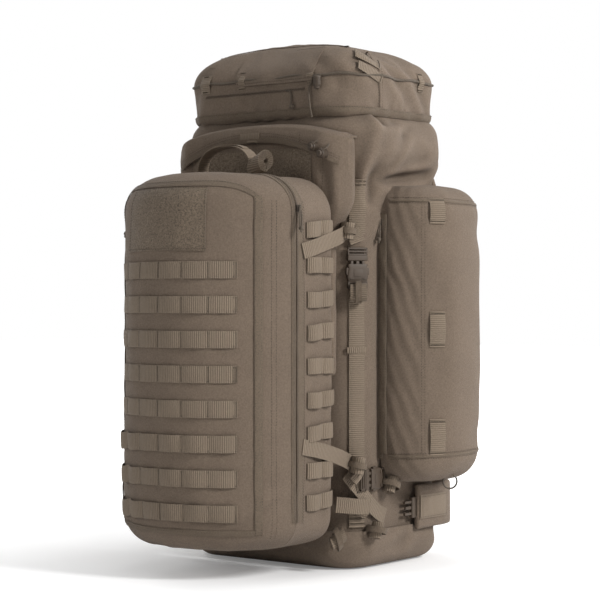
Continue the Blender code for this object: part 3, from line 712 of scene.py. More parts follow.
def daypack_radius(height):
    """The front bows out at mid height and draws in at both ends."""
    t = (height - 0.325) / 0.280
    return DAYPACK_RADIUS + 0.0015 - 0.0085 * abs(t) ** 2.4


def daypack_half(inset):
    """Half the width at the split; the corners are rounder from the front than from the side."""
    return DAYPACK_RADIUS * sin(DAYPACK_REACH) - inset * 1.30


def daypack_arc(inset, height):
    """The front panel from above; it always ends on the split plane."""
    deep = daypack_radius(height) - SPLIT_DEPTH - inset * 0.70
    ends = cos(DAYPACK_REACH)
    return [(daypack_half(inset) * sin(t) / sin(DAYPACK_REACH),
             DAYPACK_SPLIT - 0.0014 - deep * (cos(t) - ends) / (1 - ends))
            for t in np.linspace(-DAYPACK_REACH, DAYPACK_REACH, 40)]


def on_daypack(turn, height):
    """A point near the front panel at an angle from its middle."""
    return Vector((DAYPACK_RADIUS * sin(turn), DAYPACK_CENTRE - DAYPACK_RADIUS * cos(turn), height))


# %% Daypack front skin
DAYPACK_LEVELS = quarter_rows(DAYPACK_BOTTOM, DAYPACK_TOP - 0.003, 0.042, 0.056, CLOTH_PITCH)
front_grid = skin_grid(daypack_arc, DAYPACK_LEVELS, 66, False, (0, DAYPACK_SPLIT - 0.0014), crown=0.003)
front_skin = skin_piece("daypack_front_skin", front_grid, False, CLOTH, "daypack_panel",
                        ("daypack_front",))


def borders(grid, rows=(), columns=(), poles=True):
    """Marks the grid's outer columns, chosen rows and its poles as sewn."""
    pinned = np.zeros(grid.shape[:2], bool)
    for c in columns:
        pinned[:, c] = True
    for r in rows:
        pinned[r] = True
    if poles:
        pinned[:2] = pinned[-2:] = True
    return pinned.ravel()


def nearest_row(grid, height):
    return int(np.abs(grid[:, grid.shape[1] // 2, 2] - height).argmin())


front_rows = [nearest_row(front_grid, z) for z in (0.075, 0.590)]
fill_out(front_skin, borders(front_grid, front_rows, (0, -1)), pressure=2.0, spare=0.012, cap=0.0035)
LOWER_FOLDS = (
    ((-0.150, -0.25, 0.200), (-0.105, -0.33, 0.120), 0.012, 0.0030),
    ((-0.150, -0.26, 0.160), (-0.090, -0.34, 0.080), 0.010, 0.0030),
    ((-0.120, -0.32, 0.250), (-0.060, -0.36, 0.215), 0.009, 0.0012),
    ((0.150, -0.26, 0.130), (0.100, -0.33, 0.075), 0.010, 0.0025),
    ((0.060, -0.36, 0.560), (0.045, -0.36, 0.500), 0.012, 0.0016),
    ((-0.140, -0.29, 0.560), (-0.130, -0.30, 0.480), 0.011, 0.0022),
)
points, normals = points_of(front_skin.data), normals_of(front_skin.data)
points = press_folds(points, normals, LOWER_FOLDS)
low = np.clip((0.42 - points[:, 2]) / 0.30, 0, 1)
points += normals * ((0.0004 + 0.0012 * low) * crumple(points, 27, 3))[:, None]
settle_skin(front_skin, points, SKIN_WALL)
print("daypack front:", len(front_skin.data.polygons), "faces")

# %% [markdown]
# The back half is a tray: a flat back against the bag, two side walls with their own webbing,
# and the top and bottom. Its rim meets the front panel along the zip.

# %% Daypack back skin
def tray_outline(inset, height):
    half = daypack_half(inset)
    swell = 0.004 * sin(pi * min(1, max(0, (height - 0.045) / 0.56)))
    corner = 0.026
    turns = np.linspace(0, pi / 2, 8)
    right = [(half, DAYPACK_SPLIT + 0.0004), (half + swell, DAYPACK_SPLIT + 0.03)]
    right += [(half - corner + corner * cos(t) + swell * cos(t) ** 2,
               DAYPACK_BACK - corner + corner * sin(t)) for t in turns]
    return right + [(-x, y) for x, y in right[::-1]]


tray_grid = skin_grid(tray_outline, DAYPACK_LEVELS, 78, False, (0, DAYPACK_SPLIT + 0.0004), crown=0.003)
tray_skin = skin_piece("daypack_back_skin", tray_grid, False, CLOTH, "bag", ("daypack_back",))
points, normals = points_of(tray_skin.data), normals_of(tray_skin.data)
points += normals * (0.0012 * crumple(points, 27, 5))[:, None]
points[:, 1] = points[:, 1].clip(DAYPACK_SPLIT + 0.0003, DAYPACK_BACK)
settle_skin(tray_skin, points, SKIN_WALL)

# %% [markdown]
# ## The main bag
# Most of the bag is covered, so its grid is coarse low down and fine where it shows: the upper
# part swells over the pouches and folds deeply where the lid's straps draw it in.

# %% Main bag skin
BAG_HALF_WIDTH, BAG_FRONT, BAG_BACK, BAG_CORNER = 0.172, -0.125, 0.135, 0.060
BAG_RIM = 0.712


def bag_outline(inset, height):
    t = (height - 0.600) / 0.112
    swell = 0.0
    if 0 < t < 1:
        swell = 0.021 * sin(pi * min(1, t * 1.05)) if t < 0.95 else 0.0
        inset = inset + 0.0172 * max(0.0, (t - 0.70) / 0.30) ** 1.5
    return rounded_box(BAG_HALF_WIDTH - inset + swell, BAG_FRONT + inset, BAG_BACK - inset,
                       BAG_CORNER - inset + swell)


bag_levels = [(z, inset) for z, inset in quarter_rows(0.0025, 0.46, 0.030, 0, 0.014)]
bag_levels += [(z, 0.0) for z in np.linspace(0.466, BAG_RIM, 42)]
bag_grid = skin_grid(bag_outline, bag_levels, 168, True, (0, 0.005), top_cap=False, pitch=0.016)
bag_skin = skin_piece("main_bag_skin", bag_grid, True, CLOTH, "bag", ("main_bag",))
bag_heights = bag_grid[..., 2].ravel()
bag_pins = (bag_heights < 0.50) | (bag_heights > 0.700)
fill_out(bag_skin, bag_pins, pressure=2.5, spare=0.03, cap=0.006)
UPPER_FOLDS = (
    ((0.174, -0.052, 0.712), (0.172, -0.078, 0.572), 0.0110, 0.0260),
    ((0.190, 0.040, 0.706), (0.176, -0.060, 0.640), 0.0080, 0.0055),
    ((0.174, -0.068, 0.598), (0.188, 0.070, 0.612), 0.0090, 0.0160),
    ((0.176, -0.064, 0.604), (0.192, -0.010, 0.676), 0.0085, 0.0075),
    ((0.180, -0.060, 0.618), (0.192, 0.050, 0.640), 0.0080, 0.0055),
    ((0.180, -0.040, 0.690), (0.186, 0.020, 0.706), 0.0100, 0.0050),
    ((0.180, 0.050, 0.620), (0.172, 0.118, 0.660), 0.0110, 0.0050),
    ((0.172, -0.070, 0.600), (0.160, -0.080, 0.500), 0.0080, 0.0045),
    ((0.174, -0.062, 0.560), (0.178, -0.010, 0.520), 0.0090, 0.0050),
    ((-0.166, -0.066, 0.708), (-0.170, -0.074, 0.572), 0.0120, 0.0130),
    ((-0.174, -0.060, 0.590), (-0.186, 0.030, 0.606), 0.0090, 0.0100),
    ((-0.172, -0.070, 0.592), (-0.188, -0.018, 0.668), 0.0085, 0.0060),
    ((-0.060, 0.136, 0.700), (-0.030, 0.136, 0.640), 0.0100, 0.0040),
    ((0.070, 0.136, 0.700), (0.050, 0.136, 0.640), 0.0100, 0.0040),
)
points, normals = points_of(bag_skin.data), normals_of(bag_skin.data)
moved = press_folds(points, normals, UPPER_FOLDS)
fade = np.clip((BAG_RIM - points[:, 2]) / 0.02, 0, 1) * np.clip((points[:, 2] - 0.50) / 0.05, 0, 1)
fade = fade[:, None]
moved = points + (moved - points) * fade + normals * (0.0034 * crumple(points, 21, 7))[:, None] * fade
settle_skin(bag_skin, moved, SKIN_WALL)
print("main bag:", len(bag_skin.data.polygons), "faces")

# %% [markdown]
# ## The boot, the front pocket and its flap
# A second layer of cloth guards the base. The pocket is a flat envelope on the front of the
# bag, and its flap is cut in an arch and comes down lower at its ends.

# %% Boot skin
def boot_outline(inset, height):
    skin = 0.0036
    return rounded_box(BAG_HALF_WIDTH + skin - inset, BAG_FRONT - skin + inset,
                       BAG_BACK + skin - inset, BAG_CORNER + skin - inset)


boot_grid = skin_grid(boot_outline, quarter_rows(0.0, 0.060, 0.030, 0, 0.006), 140, True, (0, 0.005),
                      top_cap=False, pitch=0.02, crown=0.0)
boot_skin = skin_piece("base_boot_skin", boot_grid, True, CLOTH, "bag", ("base_boot",))
points = points_of(boot_skin.data)
ripple = 0.0034 * crumple(points * (1, 1, 1.6), 24, 11) * np.clip(points[:, 2] / 0.02, 0, 1)
points += normals_of(boot_skin.data) * ripple[:, None]
points[:, 2] = points[:, 2].clip(0.0001, None)
settle_skin(boot_skin, points, 0.0016)

# %% Pocket and flap
POCKET_BACK, POCKET_FRONT = -0.1253, -0.1463


def pocket_outline(inset, height):
    """The pocket widens upwards and its gusset wraps the bag's corner."""
    widen = min(1.0, max(0.0, (height - 0.500) / 0.075))
    widen = widen * widen * (3 - 2 * widen)
    half = 0.148 + 0.022 * widen - inset * 0.8
    return rounded_box(half, POCKET_FRONT + inset * 0.8, POCKET_BACK + 0.030 * widen,
                       0.010 + 0.018 * widen)


pocket_grid = skin_grid(pocket_outline, quarter_rows(0.300, 0.672, 0.006, 0.014, 0.0065), 120, True,
                        (0, -0.132), pitch=0.02, crown=0.0)
pocket_skin = skin_piece("front_pocket_skin", pocket_grid, True, CLOTH, "bag", ("front_pocket",))
POCKET_FOLDS = (
    ((0.130, -0.146, 0.640), (0.150, -0.140, 0.540), 0.011, 0.0045),
    ((0.105, -0.146, 0.600), (0.140, -0.145, 0.530), 0.009, 0.0035),
    ((0.160, -0.130, 0.620), (0.160, -0.130, 0.545), 0.008, 0.0030),
    ((-0.130, -0.146, 0.640), (-0.155, -0.140, 0.550), 0.011, 0.0045),
)
points, normals = points_of(pocket_skin.data), normals_of(pocket_skin.data)
points = press_folds(points, normals, POCKET_FOLDS)
points += normals * (0.0013 * crumple(points * (1, 1, 0.6), 30, 23))[:, None]
settle_skin(pocket_skin, points)


def flap_lower_edge(x):
    """The flap's lower edge: an arch, higher in the middle than at its ends."""
    return 0.660 - 0.046 * min(1.0, abs(x) / 0.168) ** 2.2


def flap_upper_edge(x):
    return 0.690 - 0.024 * min(1.0, abs(x) / 0.168) ** 2.6


def flap_depth(x):
    """How far the flap's ends turn back round the pocket's corners."""
    return 0.024 * max(0.0, (abs(x) - 0.128) / 0.041) ** 2


flap_columns = np.linspace(-0.1695, 0.1695, 90)
flap_rows = []
for t in np.linspace(0, 1, 22):
    row = []
    for x in flap_columns:
        top, low = flap_upper_edge(x), flap_lower_edge(x)
        if t < 0.3:
            turn = t / 0.3 * pi / 2
            y = -0.1285 - 0.0240 * sin(turn) + flap_depth(x)
            z = top - 0.007 * (1 - cos(turn))
        else:
            drop = (t - 0.3) / 0.7
            y = -0.1525 - 0.0022 * sin(pi * drop) + flap_depth(x)
            z = top - 0.007 + (low - top + 0.007) * drop
        row.append((x, y, z))
    flap_rows.append(row)
flap_grid = np.array(flap_rows)
flap_skin = skin_piece("pocket_flap_skin", flap_grid, False, CLOTH, "flap", ("pocket_flap",),
                       poles=False)
if sum(v.normal.y for v in flap_skin.data.vertices) > 0:
    flap_skin.data.flip_normals()
points = points_of(flap_skin.data)
points[:, 1] -= 0.0014 * (0.6 + crumple(points, 30, 13)) * np.clip((0.684 - points[:, 2]) / 0.02, 0, 1)
settle_skin(flap_skin, points, 0.0030)

# %% [markdown]
# ## The lid
# The lid is a floating pouch of its own with a wide crown and a gathered hem. The hem is drawn
# in by elastic, which throws folds that fade as they climb.

# %% Lid skin
LID_HALF_WIDTH, LID_HALF_DEPTH, LID_CORNER = 0.168, 0.125, 0.050
LID_BOTTOM, LID_TOP = 0.697, 0.827


def lid_outline(inset, height):
    """The lid domes more at its ends and rear than at its front."""
    return rounded_box(LID_HALF_WIDTH - inset * 1.45, -LID_HALF_DEPTH + inset,
                       LID_HALF_DEPTH - inset * 1.75, LID_CORNER - inset * 0.35)


lid_levels = [(0.6975, 0.005), (0.7000, 0.0025), (0.7040, 0.0012)]
lid_levels += quarter_rows(0.709, 0.8130, 0, 0.052, 0.0055)
lid_grid = skin_grid(lid_outline, lid_levels, 176, True, (0, -0.015), bottom_cap=False, pitch=0.010,
                     crown=0.0135)
lid_skin = skin_piece("lid_skin", lid_grid, True, CLOTH, "lid", ("lid",))
lid_pins = borders(lid_grid, rows=(0, 1), poles=False)
fill_out(lid_skin, lid_pins, pressure=3.0, spare=0.03, cap=0.005)
points, normals = points_of(lid_skin.data), normals_of(lid_skin.data)
around = np.arctan2(points[:, 1] / LID_HALF_DEPTH, points[:, 0] / LID_HALF_WIDTH)
climb = np.exp(-((points[:, 2] - 0.700) / 0.022).clip(0) ** 2)
gathers = np.sin(around * 31 + 2.2 * np.sin(around * 5) + 1.1 * np.sin(around * 11))
drape = crumple(points * (1, 1, 0.55), 30, 17)
side = np.clip((np.abs(points[:, 0]) - 0.10) / 0.04, 0, 1)
LID_FOLDS = (
    ((0.150, -0.115, 0.800), (0.166, -0.040, 0.735), 0.010, 0.0040),
    ((0.168, -0.030, 0.790), (0.167, 0.030, 0.720), 0.011, 0.0050),
    ((0.168, 0.020, 0.790), (0.164, 0.080, 0.715), 0.010, 0.0045),
    ((0.090, -0.124, 0.795), (0.150, -0.115, 0.745), 0.009, 0.0025),
    ((-0.110, -0.122, 0.790), (-0.155, -0.100, 0.730), 0.011, 0.0035),
    ((-0.060, -0.124, 0.760), (-0.020, -0.124, 0.712), 0.008, 0.0020),
    ((0.010, -0.100, 0.822), (0.110, -0.080, 0.820), 0.012, 0.0025),
    ((-0.120, -0.080, 0.820), (-0.040, -0.095, 0.822), 0.012, 0.0025),
)
moved = press_folds(points, normals, LID_FOLDS)
moved += normals * (0.0018 * gathers * climb + (0.0012 + 0.0020 * side) * drape)[:, None]
moved[:, 2] = moved[:, 2].clip(LID_BOTTOM, LID_TOP + 0.002)
settle_skin(lid_skin, moved, 0.0030)
print("lid:", len(lid_skin.data.polygons), "faces")

# %% [markdown]
# ## Side pouches
# Each pouch is a bolster: half an oval in plan, closed by a cap panel at each end. A zip runs
# down its front edge so that it can swing open like a door on its rear seam.

# %% Pouch skins
POUCH_INNER, POUCH_CENTRE_Y = 0.1756, 0.040
POUCH_BOTTOM, POUCH_TOP = 0.133, 0.595
POUCH_HALF_LENGTH, POUCH_DEPTH = 0.095, 0.0944


def pouch_outline(sign):
    def outline(inset, height):
        t = (height - 0.364) / 0.231
        deep = POUCH_DEPTH - inset - 0.004 * abs(t) ** 2.5
        half = POUCH_HALF_LENGTH - inset * 0.75
        points = []
        for turn in np.linspace(-pi / 2, pi / 2, 60):
            c, s = max(0.0, cos(turn)), sin(turn)
            points.append((sign * (POUCH_INNER + deep * c ** 0.80),
                           POUCH_CENTRE_Y + half * signed_power(s, 0.80)))
        return points
    return outline


POUCH_LEVELS = quarter_rows(POUCH_BOTTOM, POUCH_TOP - 0.002, 0.046, 0.046, CLOTH_PITCH)
pouch_skins = {}
for side_name, sign in SIDES:
    grid = skin_grid(pouch_outline(sign), POUCH_LEVELS, 54, False,
                     (sign * POUCH_INNER, POUCH_CENTRE_Y), crown=0.002)
    piece = skin_piece(f"side_pouch_skin_{side_name}", grid, False, CLOTH, f"pouch_{side_name}",
                       (f"side_pouch_{side_name}",))
    rows = [nearest_row(grid, z) for z in (0.172, 0.556)]
    fill_out(piece, borders(grid, rows, (0, 7, -1)), pressure=2.5, spare=0.02, cap=0.004)
    points, normals = points_of(piece.data), normals_of(piece.data)
    out = sign * points[:, 0]
    gusset = np.clip((-0.012 - points[:, 1]) / 0.02, 0, 1) * np.clip((0.243 - out) / 0.012, 0, 1)
    slant = (out + 0.34 * points[:, 2]) * 330 + 1.6 * ridge_noise(points, 30, 5)
    folds = (1 - 2 * np.abs(np.sin(slant / 2))) * (0.6 + 0.4 * ridge_noise(points, 18, 9))
    tube = 0.0012 * np.clip((sign * points[:, 0] - 0.20) / 0.04, 0.45, 1)
    relief = 0.0024 * folds * gusset + tube * crumple(points * (1, 1, 0.6), 26, 19)
    points += normals * relief[:, None]
    points[:, 0] = sign * (sign * points[:, 0]).clip(POUCH_INNER, None)
    settle_skin(piece, points, SKIN_WALL)
    pouch_skins[side_name] = piece
print("pouches:", [len(p.data.polygons) for p in pouch_skins.values()])

# %% Tubes
def tube_mesh(name, path, radius, sides=10):
    """A closed tube along a path, with a UV map round and along it."""
    up = Vector((0.3, 0.9, 0.2)).normalized()
    rings = []
    for p, tangent in zip(path, tangents(path)):
        side = tangent.cross(up).normalized()
        up = side.cross(tangent).normalized()
        rings.append([p + radius * (side * cos(t) + up * sin(t)) for t in full_turn(sides)])
    mesh = grid_mesh(name, rings, closed=True)
    close_shell(mesh)
    return mesh


def close_shell(mesh):
    """Fills the open ends of a shell and turns its faces outwards."""
    work = bmesh.new()
    work.from_mesh(mesh)
    edges = [e for e in work.edges if e.is_boundary]
    if edges:
        bmesh.ops.holes_fill(work, edges=edges, sides=0)
    bmesh.ops.recalc_face_normals(work, faces=work.faces)
    work.to_mesh(mesh)
    work.free()

# %% [markdown]
# ## Webbing laid on cloth
# Webbing is a strip with a known width and thickness that follows the cloth under it. Each point
# of the strip is dropped on to the finished skin along a ray, so the strip takes the shape that
# the cloth ended up with. Between two tacks a loop stands a little off, and that stand-off is
# one rise value along the strip.

# %% Band helpers
def closest_on(tree, point, inward, reach=0.045):
    """Where a ray along inward meets a skin, or the nearest point of it where reach is 0."""
    inward, hit = Vector(inward).normalized(), None
    if reach:
        hit, normal, _, _ = tree.ray_cast(Vector(point) - inward * reach, inward, reach * 2.2)
    if hit is None:
        hit, normal, _, _ = tree.find_nearest(Vector(point))
    return hit, (normal if normal.dot(inward) < 0 else -normal)


def as_list(value, count):
    return value if isinstance(value, list) else [Vector(value)] * count


def band_mesh(lower, outward, thickness, name="band"):
    """A closed strip over a grid of lower points, thinner at its two edges."""
    lower = np.asarray(lower, float)
    outward = np.asarray(outward, float)
    across = np.linspace(-1, 1, lower.shape[1])
    crown = thickness * (1 - 0.45 * np.abs(across) ** 8)
    upper = lower + outward * crown[None, :, None]
    rings = np.concatenate([lower, upper[:, ::-1]], axis=1)
    mesh = grid_mesh(name, rings, closed=True)
    close_shell(mesh)
    return mesh


def lay_band(tree, path, inward, across, width, thickness=0.0016, rise=None, lift=0.0004, lines=6,
             soften=3, name="band", reach=0.045):
    """A strip laid on a skin along a path; rise lifts it everywhere, or by a value at each step."""
    count = len(path)
    inward, across = as_list(inward, count), as_list(across, count)
    lower = np.empty((count, lines, 3))
    for i, point in enumerate(path):
        for j, s in enumerate(np.linspace(-0.5, 0.5, lines)):
            hit, _ = closest_on(tree, Vector(point) + across[i] * (s * width), inward[i], reach)
            lower[i, j] = hit
    out = -np.array([list(v.normalized()) for v in inward])[:, None, :]
    base = np.array([list(p) for p in path])[:, None, :]
    height = np.einsum("ijk,ilk->ij", lower - base, out)
    level = height.copy()
    for _ in range(soften):
        level[1:-1] = (level[:-2] + 2 * level[1:-1] + level[2:]) / 4
        level[:, 1:-1] = (level[:, :-2] + 2 * level[:, 1:-1] + level[:, 2:]) / 4
    level = np.maximum(level, height - 0.0006) + lift
    if rise is not None:
        level += np.reshape(rise, (-1, 1))
    lower += (level - height)[..., None] * out
    return band_mesh(lower, np.broadcast_to(out, lower.shape), thickness, name)


def free_band(path, across, width, thickness=0.0016, lines=4, name="band"):
    """A strip that hangs free along a path."""
    path = [Vector(p) for p in path]
    across = as_list(across, len(path))
    lower, outward = [], []
    for point, tangent, wide in zip(path, tangents(path), across):
        side = (wide - tangent * wide.dot(tangent)).normalized()
        up = side.cross(tangent)
        lower.append([point + side * (s * width) for s in np.linspace(-0.5, 0.5, lines)])
        outward.append([up] * lines)
    return band_mesh(lower, outward, thickness, name)


def joined(meshes, name):
    """Joins meshes into one, with their UV maps."""
    work = bmesh.new()
    for mesh in meshes:
        work.from_mesh(mesh)
        bpy.data.meshes.remove(mesh)
    made = bpy.data.meshes.new(name)
    work.to_mesh(made)
    work.free()
    return made


def add_joined(name, meshes, finish, body, replaces=(), angle=40):
    return add_piece(name, joined(meshes, name), finish, body, replaces, angle)


def between(a, b, count):
    a, b = Vector(a), Vector(b)
    return [a.lerp(b, i / (count - 1)) for i in range(count)]


def tack_rise(positions, tacks, height):
    """Arches of the given height between the tacks, flat at each of them."""
    tacks = sorted(tacks)
    rise = np.zeros(len(positions))
    for a, b in zip(tacks, tacks[1:]):
        inside = (positions >= a) & (positions <= b)
        rise[inside] = height * np.sin(pi * (positions[inside] - a) / (b - a)) ** 0.7
    return rise


# %% [markdown]
# ## Stitches and zip teeth
# Stitches, bar tacks and zip coils are all the same thing: a small bead repeated along a path
# at a fixed pitch, facing out of the cloth. One Geometry Nodes tree makes them all. It samples
# the path, places a bead at each point, turns it, and realises the result.

# %% The bead tree
BEAD_SIZES = ("Pitch", "Length", "Width", "Height", "Turn", "Side")


def make_bead_tree():
    tree = bpy.data.node_groups.new("beads_along_path", "GeometryNodeTree")
    face = tree.interface
    face.new_socket("Geometry", in_out="INPUT", socket_type="NodeSocketGeometry")
    for label in BEAD_SIZES:
        face.new_socket(label, in_out="INPUT", socket_type="NodeSocketFloat")
    face.new_socket("Finish", in_out="INPUT", socket_type="NodeSocketMaterial")
    face.new_socket("Geometry", in_out="OUTPUT", socket_type="NodeSocketGeometry")
    node, link = tree.nodes.new, tree.links.new
    enter, leave = node("NodeGroupInput"), node("NodeGroupOutput")
    curve, sample, dots = (node("GeometryNode" + kind)
                           for kind in ("MeshToCurve", "ResampleCurve", "CurveToPoints"))
    sample.mode = "LENGTH"
    dots.mode = "EVALUATED"
    link(enter.outputs["Geometry"], curve.inputs[0])
    link(curve.outputs[0], sample.inputs["Curve"])
    link(enter.outputs["Pitch"], sample.inputs["Length"])
    link(sample.outputs[0], dots.inputs["Curve"])
    facing = node("GeometryNodeInputNamedAttribute")
    facing.data_type = "FLOAT_VECTOR"
    facing.inputs["Name"].default_value = "facing"
    side = node("ShaderNodeVectorMath")
    side.operation = "CROSS_PRODUCT"
    link(facing.outputs["Attribute"], side.inputs[0])
    link(dots.outputs["Tangent"], side.inputs[1])
    index = node("GeometryNodeInputIndex")
    turn_sign = math_node(tree, "SUBTRACT", math_node(tree, "MULTIPLY", math_node(
        tree, "MODULO", index.outputs[0], 2.0), 2.0), 1.0)
    shift = node("ShaderNodeVectorMath")
    shift.operation = "SCALE"
    link(side.outputs[0], shift.inputs[0])
    link(math_node(tree, "MULTIPLY", turn_sign, enter.outputs["Side"]), shift.inputs["Scale"])
    place = node("GeometryNodeSetPosition")
    link(dots.outputs["Points"], place.inputs["Geometry"])
    link(shift.outputs[0], place.inputs["Offset"])
    heading = node("ShaderNodeVectorRotate")
    heading.rotation_type = "AXIS_ANGLE"
    link(dots.outputs["Tangent"], heading.inputs["Vector"])
    link(facing.outputs["Attribute"], heading.inputs["Axis"])
    link(enter.outputs["Turn"], heading.inputs["Angle"])
    turn = node("FunctionNodeAxesToRotation")
    turn.primary_axis, turn.secondary_axis = "Z", "X"
    link(facing.outputs["Attribute"], turn.inputs[0])
    link(heading.outputs[0], turn.inputs[1])
    bead, size = node("GeometryNodeMeshIcoSphere"), node("ShaderNodeCombineXYZ")
    bead.inputs["Radius"].default_value = 0.5
    bead.inputs["Subdivisions"].default_value = 1
    for socket, label in zip(size.inputs, ("Length", "Width", "Height")):
        link(enter.outputs[label], socket)
    repeat, real = node("GeometryNodeInstanceOnPoints"), node("GeometryNodeRealizeInstances")
    link(place.outputs[0], repeat.inputs["Points"])
    link(bead.outputs["Mesh"], repeat.inputs["Instance"])
    link(turn.outputs[0], repeat.inputs["Rotation"])
    link(size.outputs[0], repeat.inputs["Scale"])
    link(repeat.outputs[0], real.inputs[0])
    smooth, finish = node("GeometryNodeSetShadeSmooth"), node("GeometryNodeSetMaterial")
    link(real.outputs[0], smooth.inputs[0])
    link(smooth.outputs[0], finish.inputs["Geometry"])
    link(enter.outputs["Finish"], finish.inputs["Material"])
    link(finish.outputs[0], leave.inputs[0])
    return tree


BEADS = make_bead_tree()


def bead_piece(name, body, lines, finish, **sizes):
    """Beads along lines of (points, facings), as one plain mesh piece."""
    vertices, edges, facings = [], [], []
    for points, outs in lines:
        start = len(vertices)
        vertices += [tuple(p) for p in points]
        facings += [tuple(Vector(o).normalized()) for o in outs]
        edges += [(start + i, start + i + 1) for i in range(len(points) - 1)]
    guide_mesh = bpy.data.meshes.new(name + "_guide")
    guide_mesh.from_pydata(vertices, edges, [])
    attribute = guide_mesh.attributes.new("facing", "FLOAT_VECTOR", "POINT")
    attribute.data.foreach_set("vector", np.array(facings, np.float32).ravel())
    guide = new_object(name + "_guide", guide_mesh)
    beads = guide.modifiers.new("beads", "NODES")
    beads.node_group = BEADS
    for item in BEADS.interface.items_tree:
        if item.in_out == "INPUT" and item.name in sizes:
            beads[item.identifier] = float(sizes[item.name])
        elif item.in_out == "INPUT" and item.name == "Finish":
            beads[item.identifier] = finish
    tree = bpy.context.evaluated_depsgraph_get()
    mesh = bpy.data.meshes.new_from_object(guide.evaluated_get(tree), depsgraph=tree)
    bpy.data.objects.remove(guide)
    bpy.data.meshes.remove(guide_mesh)
    mesh.name = name
    return add_piece(name, mesh, finish, body)


STITCH = dict(zip(BEAD_SIZES, (0.0042, 0.0032, 0.0008, 0.0008, 0.0, 0.0)))
TACK = dict(zip(BEAD_SIZES, (0.0011, 0.0024, 0.0008, 0.0009, pi / 2, 0.0)))
COIL = dict(zip(BEAD_SIZES, (0.0016, 0.0032, 0.0012, 0.0016, pi / 2, 0.0009)))
stitch_lines, tack_lines, coil_lines = {}, {}, {}


def seam_on(tree, path, inward, body, lift=0.0002, lines=stitch_lines):
    """Drops a path on a skin and keeps it as a line of stitches for a body."""
    inward = as_list(inward, len(path))
    dropped = [closest_on(tree, p, way) for p, way in zip(path, inward)]
    points = [hit + normal * lift for hit, normal in dropped]
    lines.setdefault(body, []).append((points, [normal for _, normal in dropped]))
    return points


def seams_beside(tree, path, side, offsets, inward, body, lift=0.0002):
    """Lines of stitches that run beside a path, one for each sideways offset."""
    for offset in offsets:
        seam_on(tree, [p + side * offset for p in path], inward, body, lift)


def tack_on(tree, centre, inward, across, width, body, lift=0.0019):
    """A bar tack across a strip."""
    centre, reach = Vector(centre), Vector(across) * width / 2
    seam_on(tree, between(centre - reach, centre + reach, 5), inward, body, lift, tack_lines)


def box_of(node):
    """The corners and the centre of a functional node's box."""
    low, high = (Vector(corner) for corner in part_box(node))
    return low, high, (low + high) / 2


# %% [markdown]
# ## Webbing on the daypack
# Rows of 25 mm webbing are tacked every 40 mm, the usual grid for load-carrying gear, and the
# loops between the tacks stand off enough to pass a strap. The rows at the bottom are slack.

# %% Rows on the front panel
front_tree = search_tree(front_skin)
ROW_TURN = radians(40.5)
TOP_ROW, ROW_SPACING = 0.459, 0.0508
ROW_TACKS = [ROW_TURN * k / 3 for k in range(-3, 4)]


def arc_inward(turn):
    return Vector((-sin(turn), cos(turn), 0))


rows = []
for row in range(8):
    height = TOP_ROW - row * ROW_SPACING
    turns = np.linspace(-ROW_TURN - 0.012, ROW_TURN + 0.012, 85)
    slack = 0.0013 + 0.0004 * (row % 3) + (0.0016 if row > 4 else 0)
    rise = tack_rise(turns, ROW_TACKS, slack)
    left_sag = np.clip((-turns - 0.1) / 0.5, 0, 1) * (0.9 if row > 4 else 0.25)
    path = [on_daypack(t, height - 0.0035 * s * sin(pi * ((t + ROW_TURN) % 0.2356) / 0.2356))
            for t, s in zip(turns, left_sag)]
    rise = rise * (1 + 0.8 * left_sag)
    rows.append(lay_band(front_tree, path, [arc_inward(t) for t in turns], UP, 0.0252, 0.0017, rise,
                         name=f"row_{row}"))
    for turn in (*ROW_TACKS, ROW_TACKS[0] + 0.02, ROW_TACKS[-1] - 0.02):
        tack_on(front_tree, on_daypack(turn, height), arc_inward(turn), UP, 0.022, "daypack_panel",
                0.0024)
add_joined("daypack_webbing_rows", rows, TAPE, "daypack_panel",
          tuple(f"webbing_row_{n}" for n in range(1, 9)))
print("webbing rows laid:", len(rows))

# %% Panel tapes, the loop panel and the seams
TAPE_TURN = radians(51.7)
strips = []
for sign in (-1, 1):
    turn = sign * TAPE_TURN
    way = arc_inward(turn)
    side = Vector((cos(turn), sin(turn), 0))
    path = [on_daypack(turn, z) for z in np.linspace(0.072, 0.566, 90)]
    wave = 0.0006 * np.sin(np.linspace(0, 40, 90))
    strips.append(lay_band(front_tree, path, way, side, 0.0125, 0.0014, 0.0004 + np.abs(wave)))
    seams_beside(front_tree, path, side, (-0.0045, 0.0045), way, "daypack_panel", 0.0020)
    for turn in (sign * radians(58.5), sign * radians(61.0)):
        path = [on_daypack(turn, z) for z in np.linspace(0.066, 0.560, 90)]
        seam_on(front_tree, path, arc_inward(turn), "daypack_panel")
turns = np.linspace(-TAPE_TURN, TAPE_TURN, 90)
for z, drop in ((0.587, 0.022), (0.074, 0.0)):
    path = [on_daypack(t, z - drop * (abs(t) / 0.9) ** 6) for t in turns]
    strips.append(lay_band(front_tree, path, [arc_inward(t) for t in turns], UP, 0.0090, 0.0012,
                           0.0003))
    seam_on(front_tree, [p + UP * 0.002 for p in path], [arc_inward(t) for t in turns],
            "daypack_panel", 0.0016)
add_joined("daypack_panel_tapes", strips, BINDING, "daypack_panel")

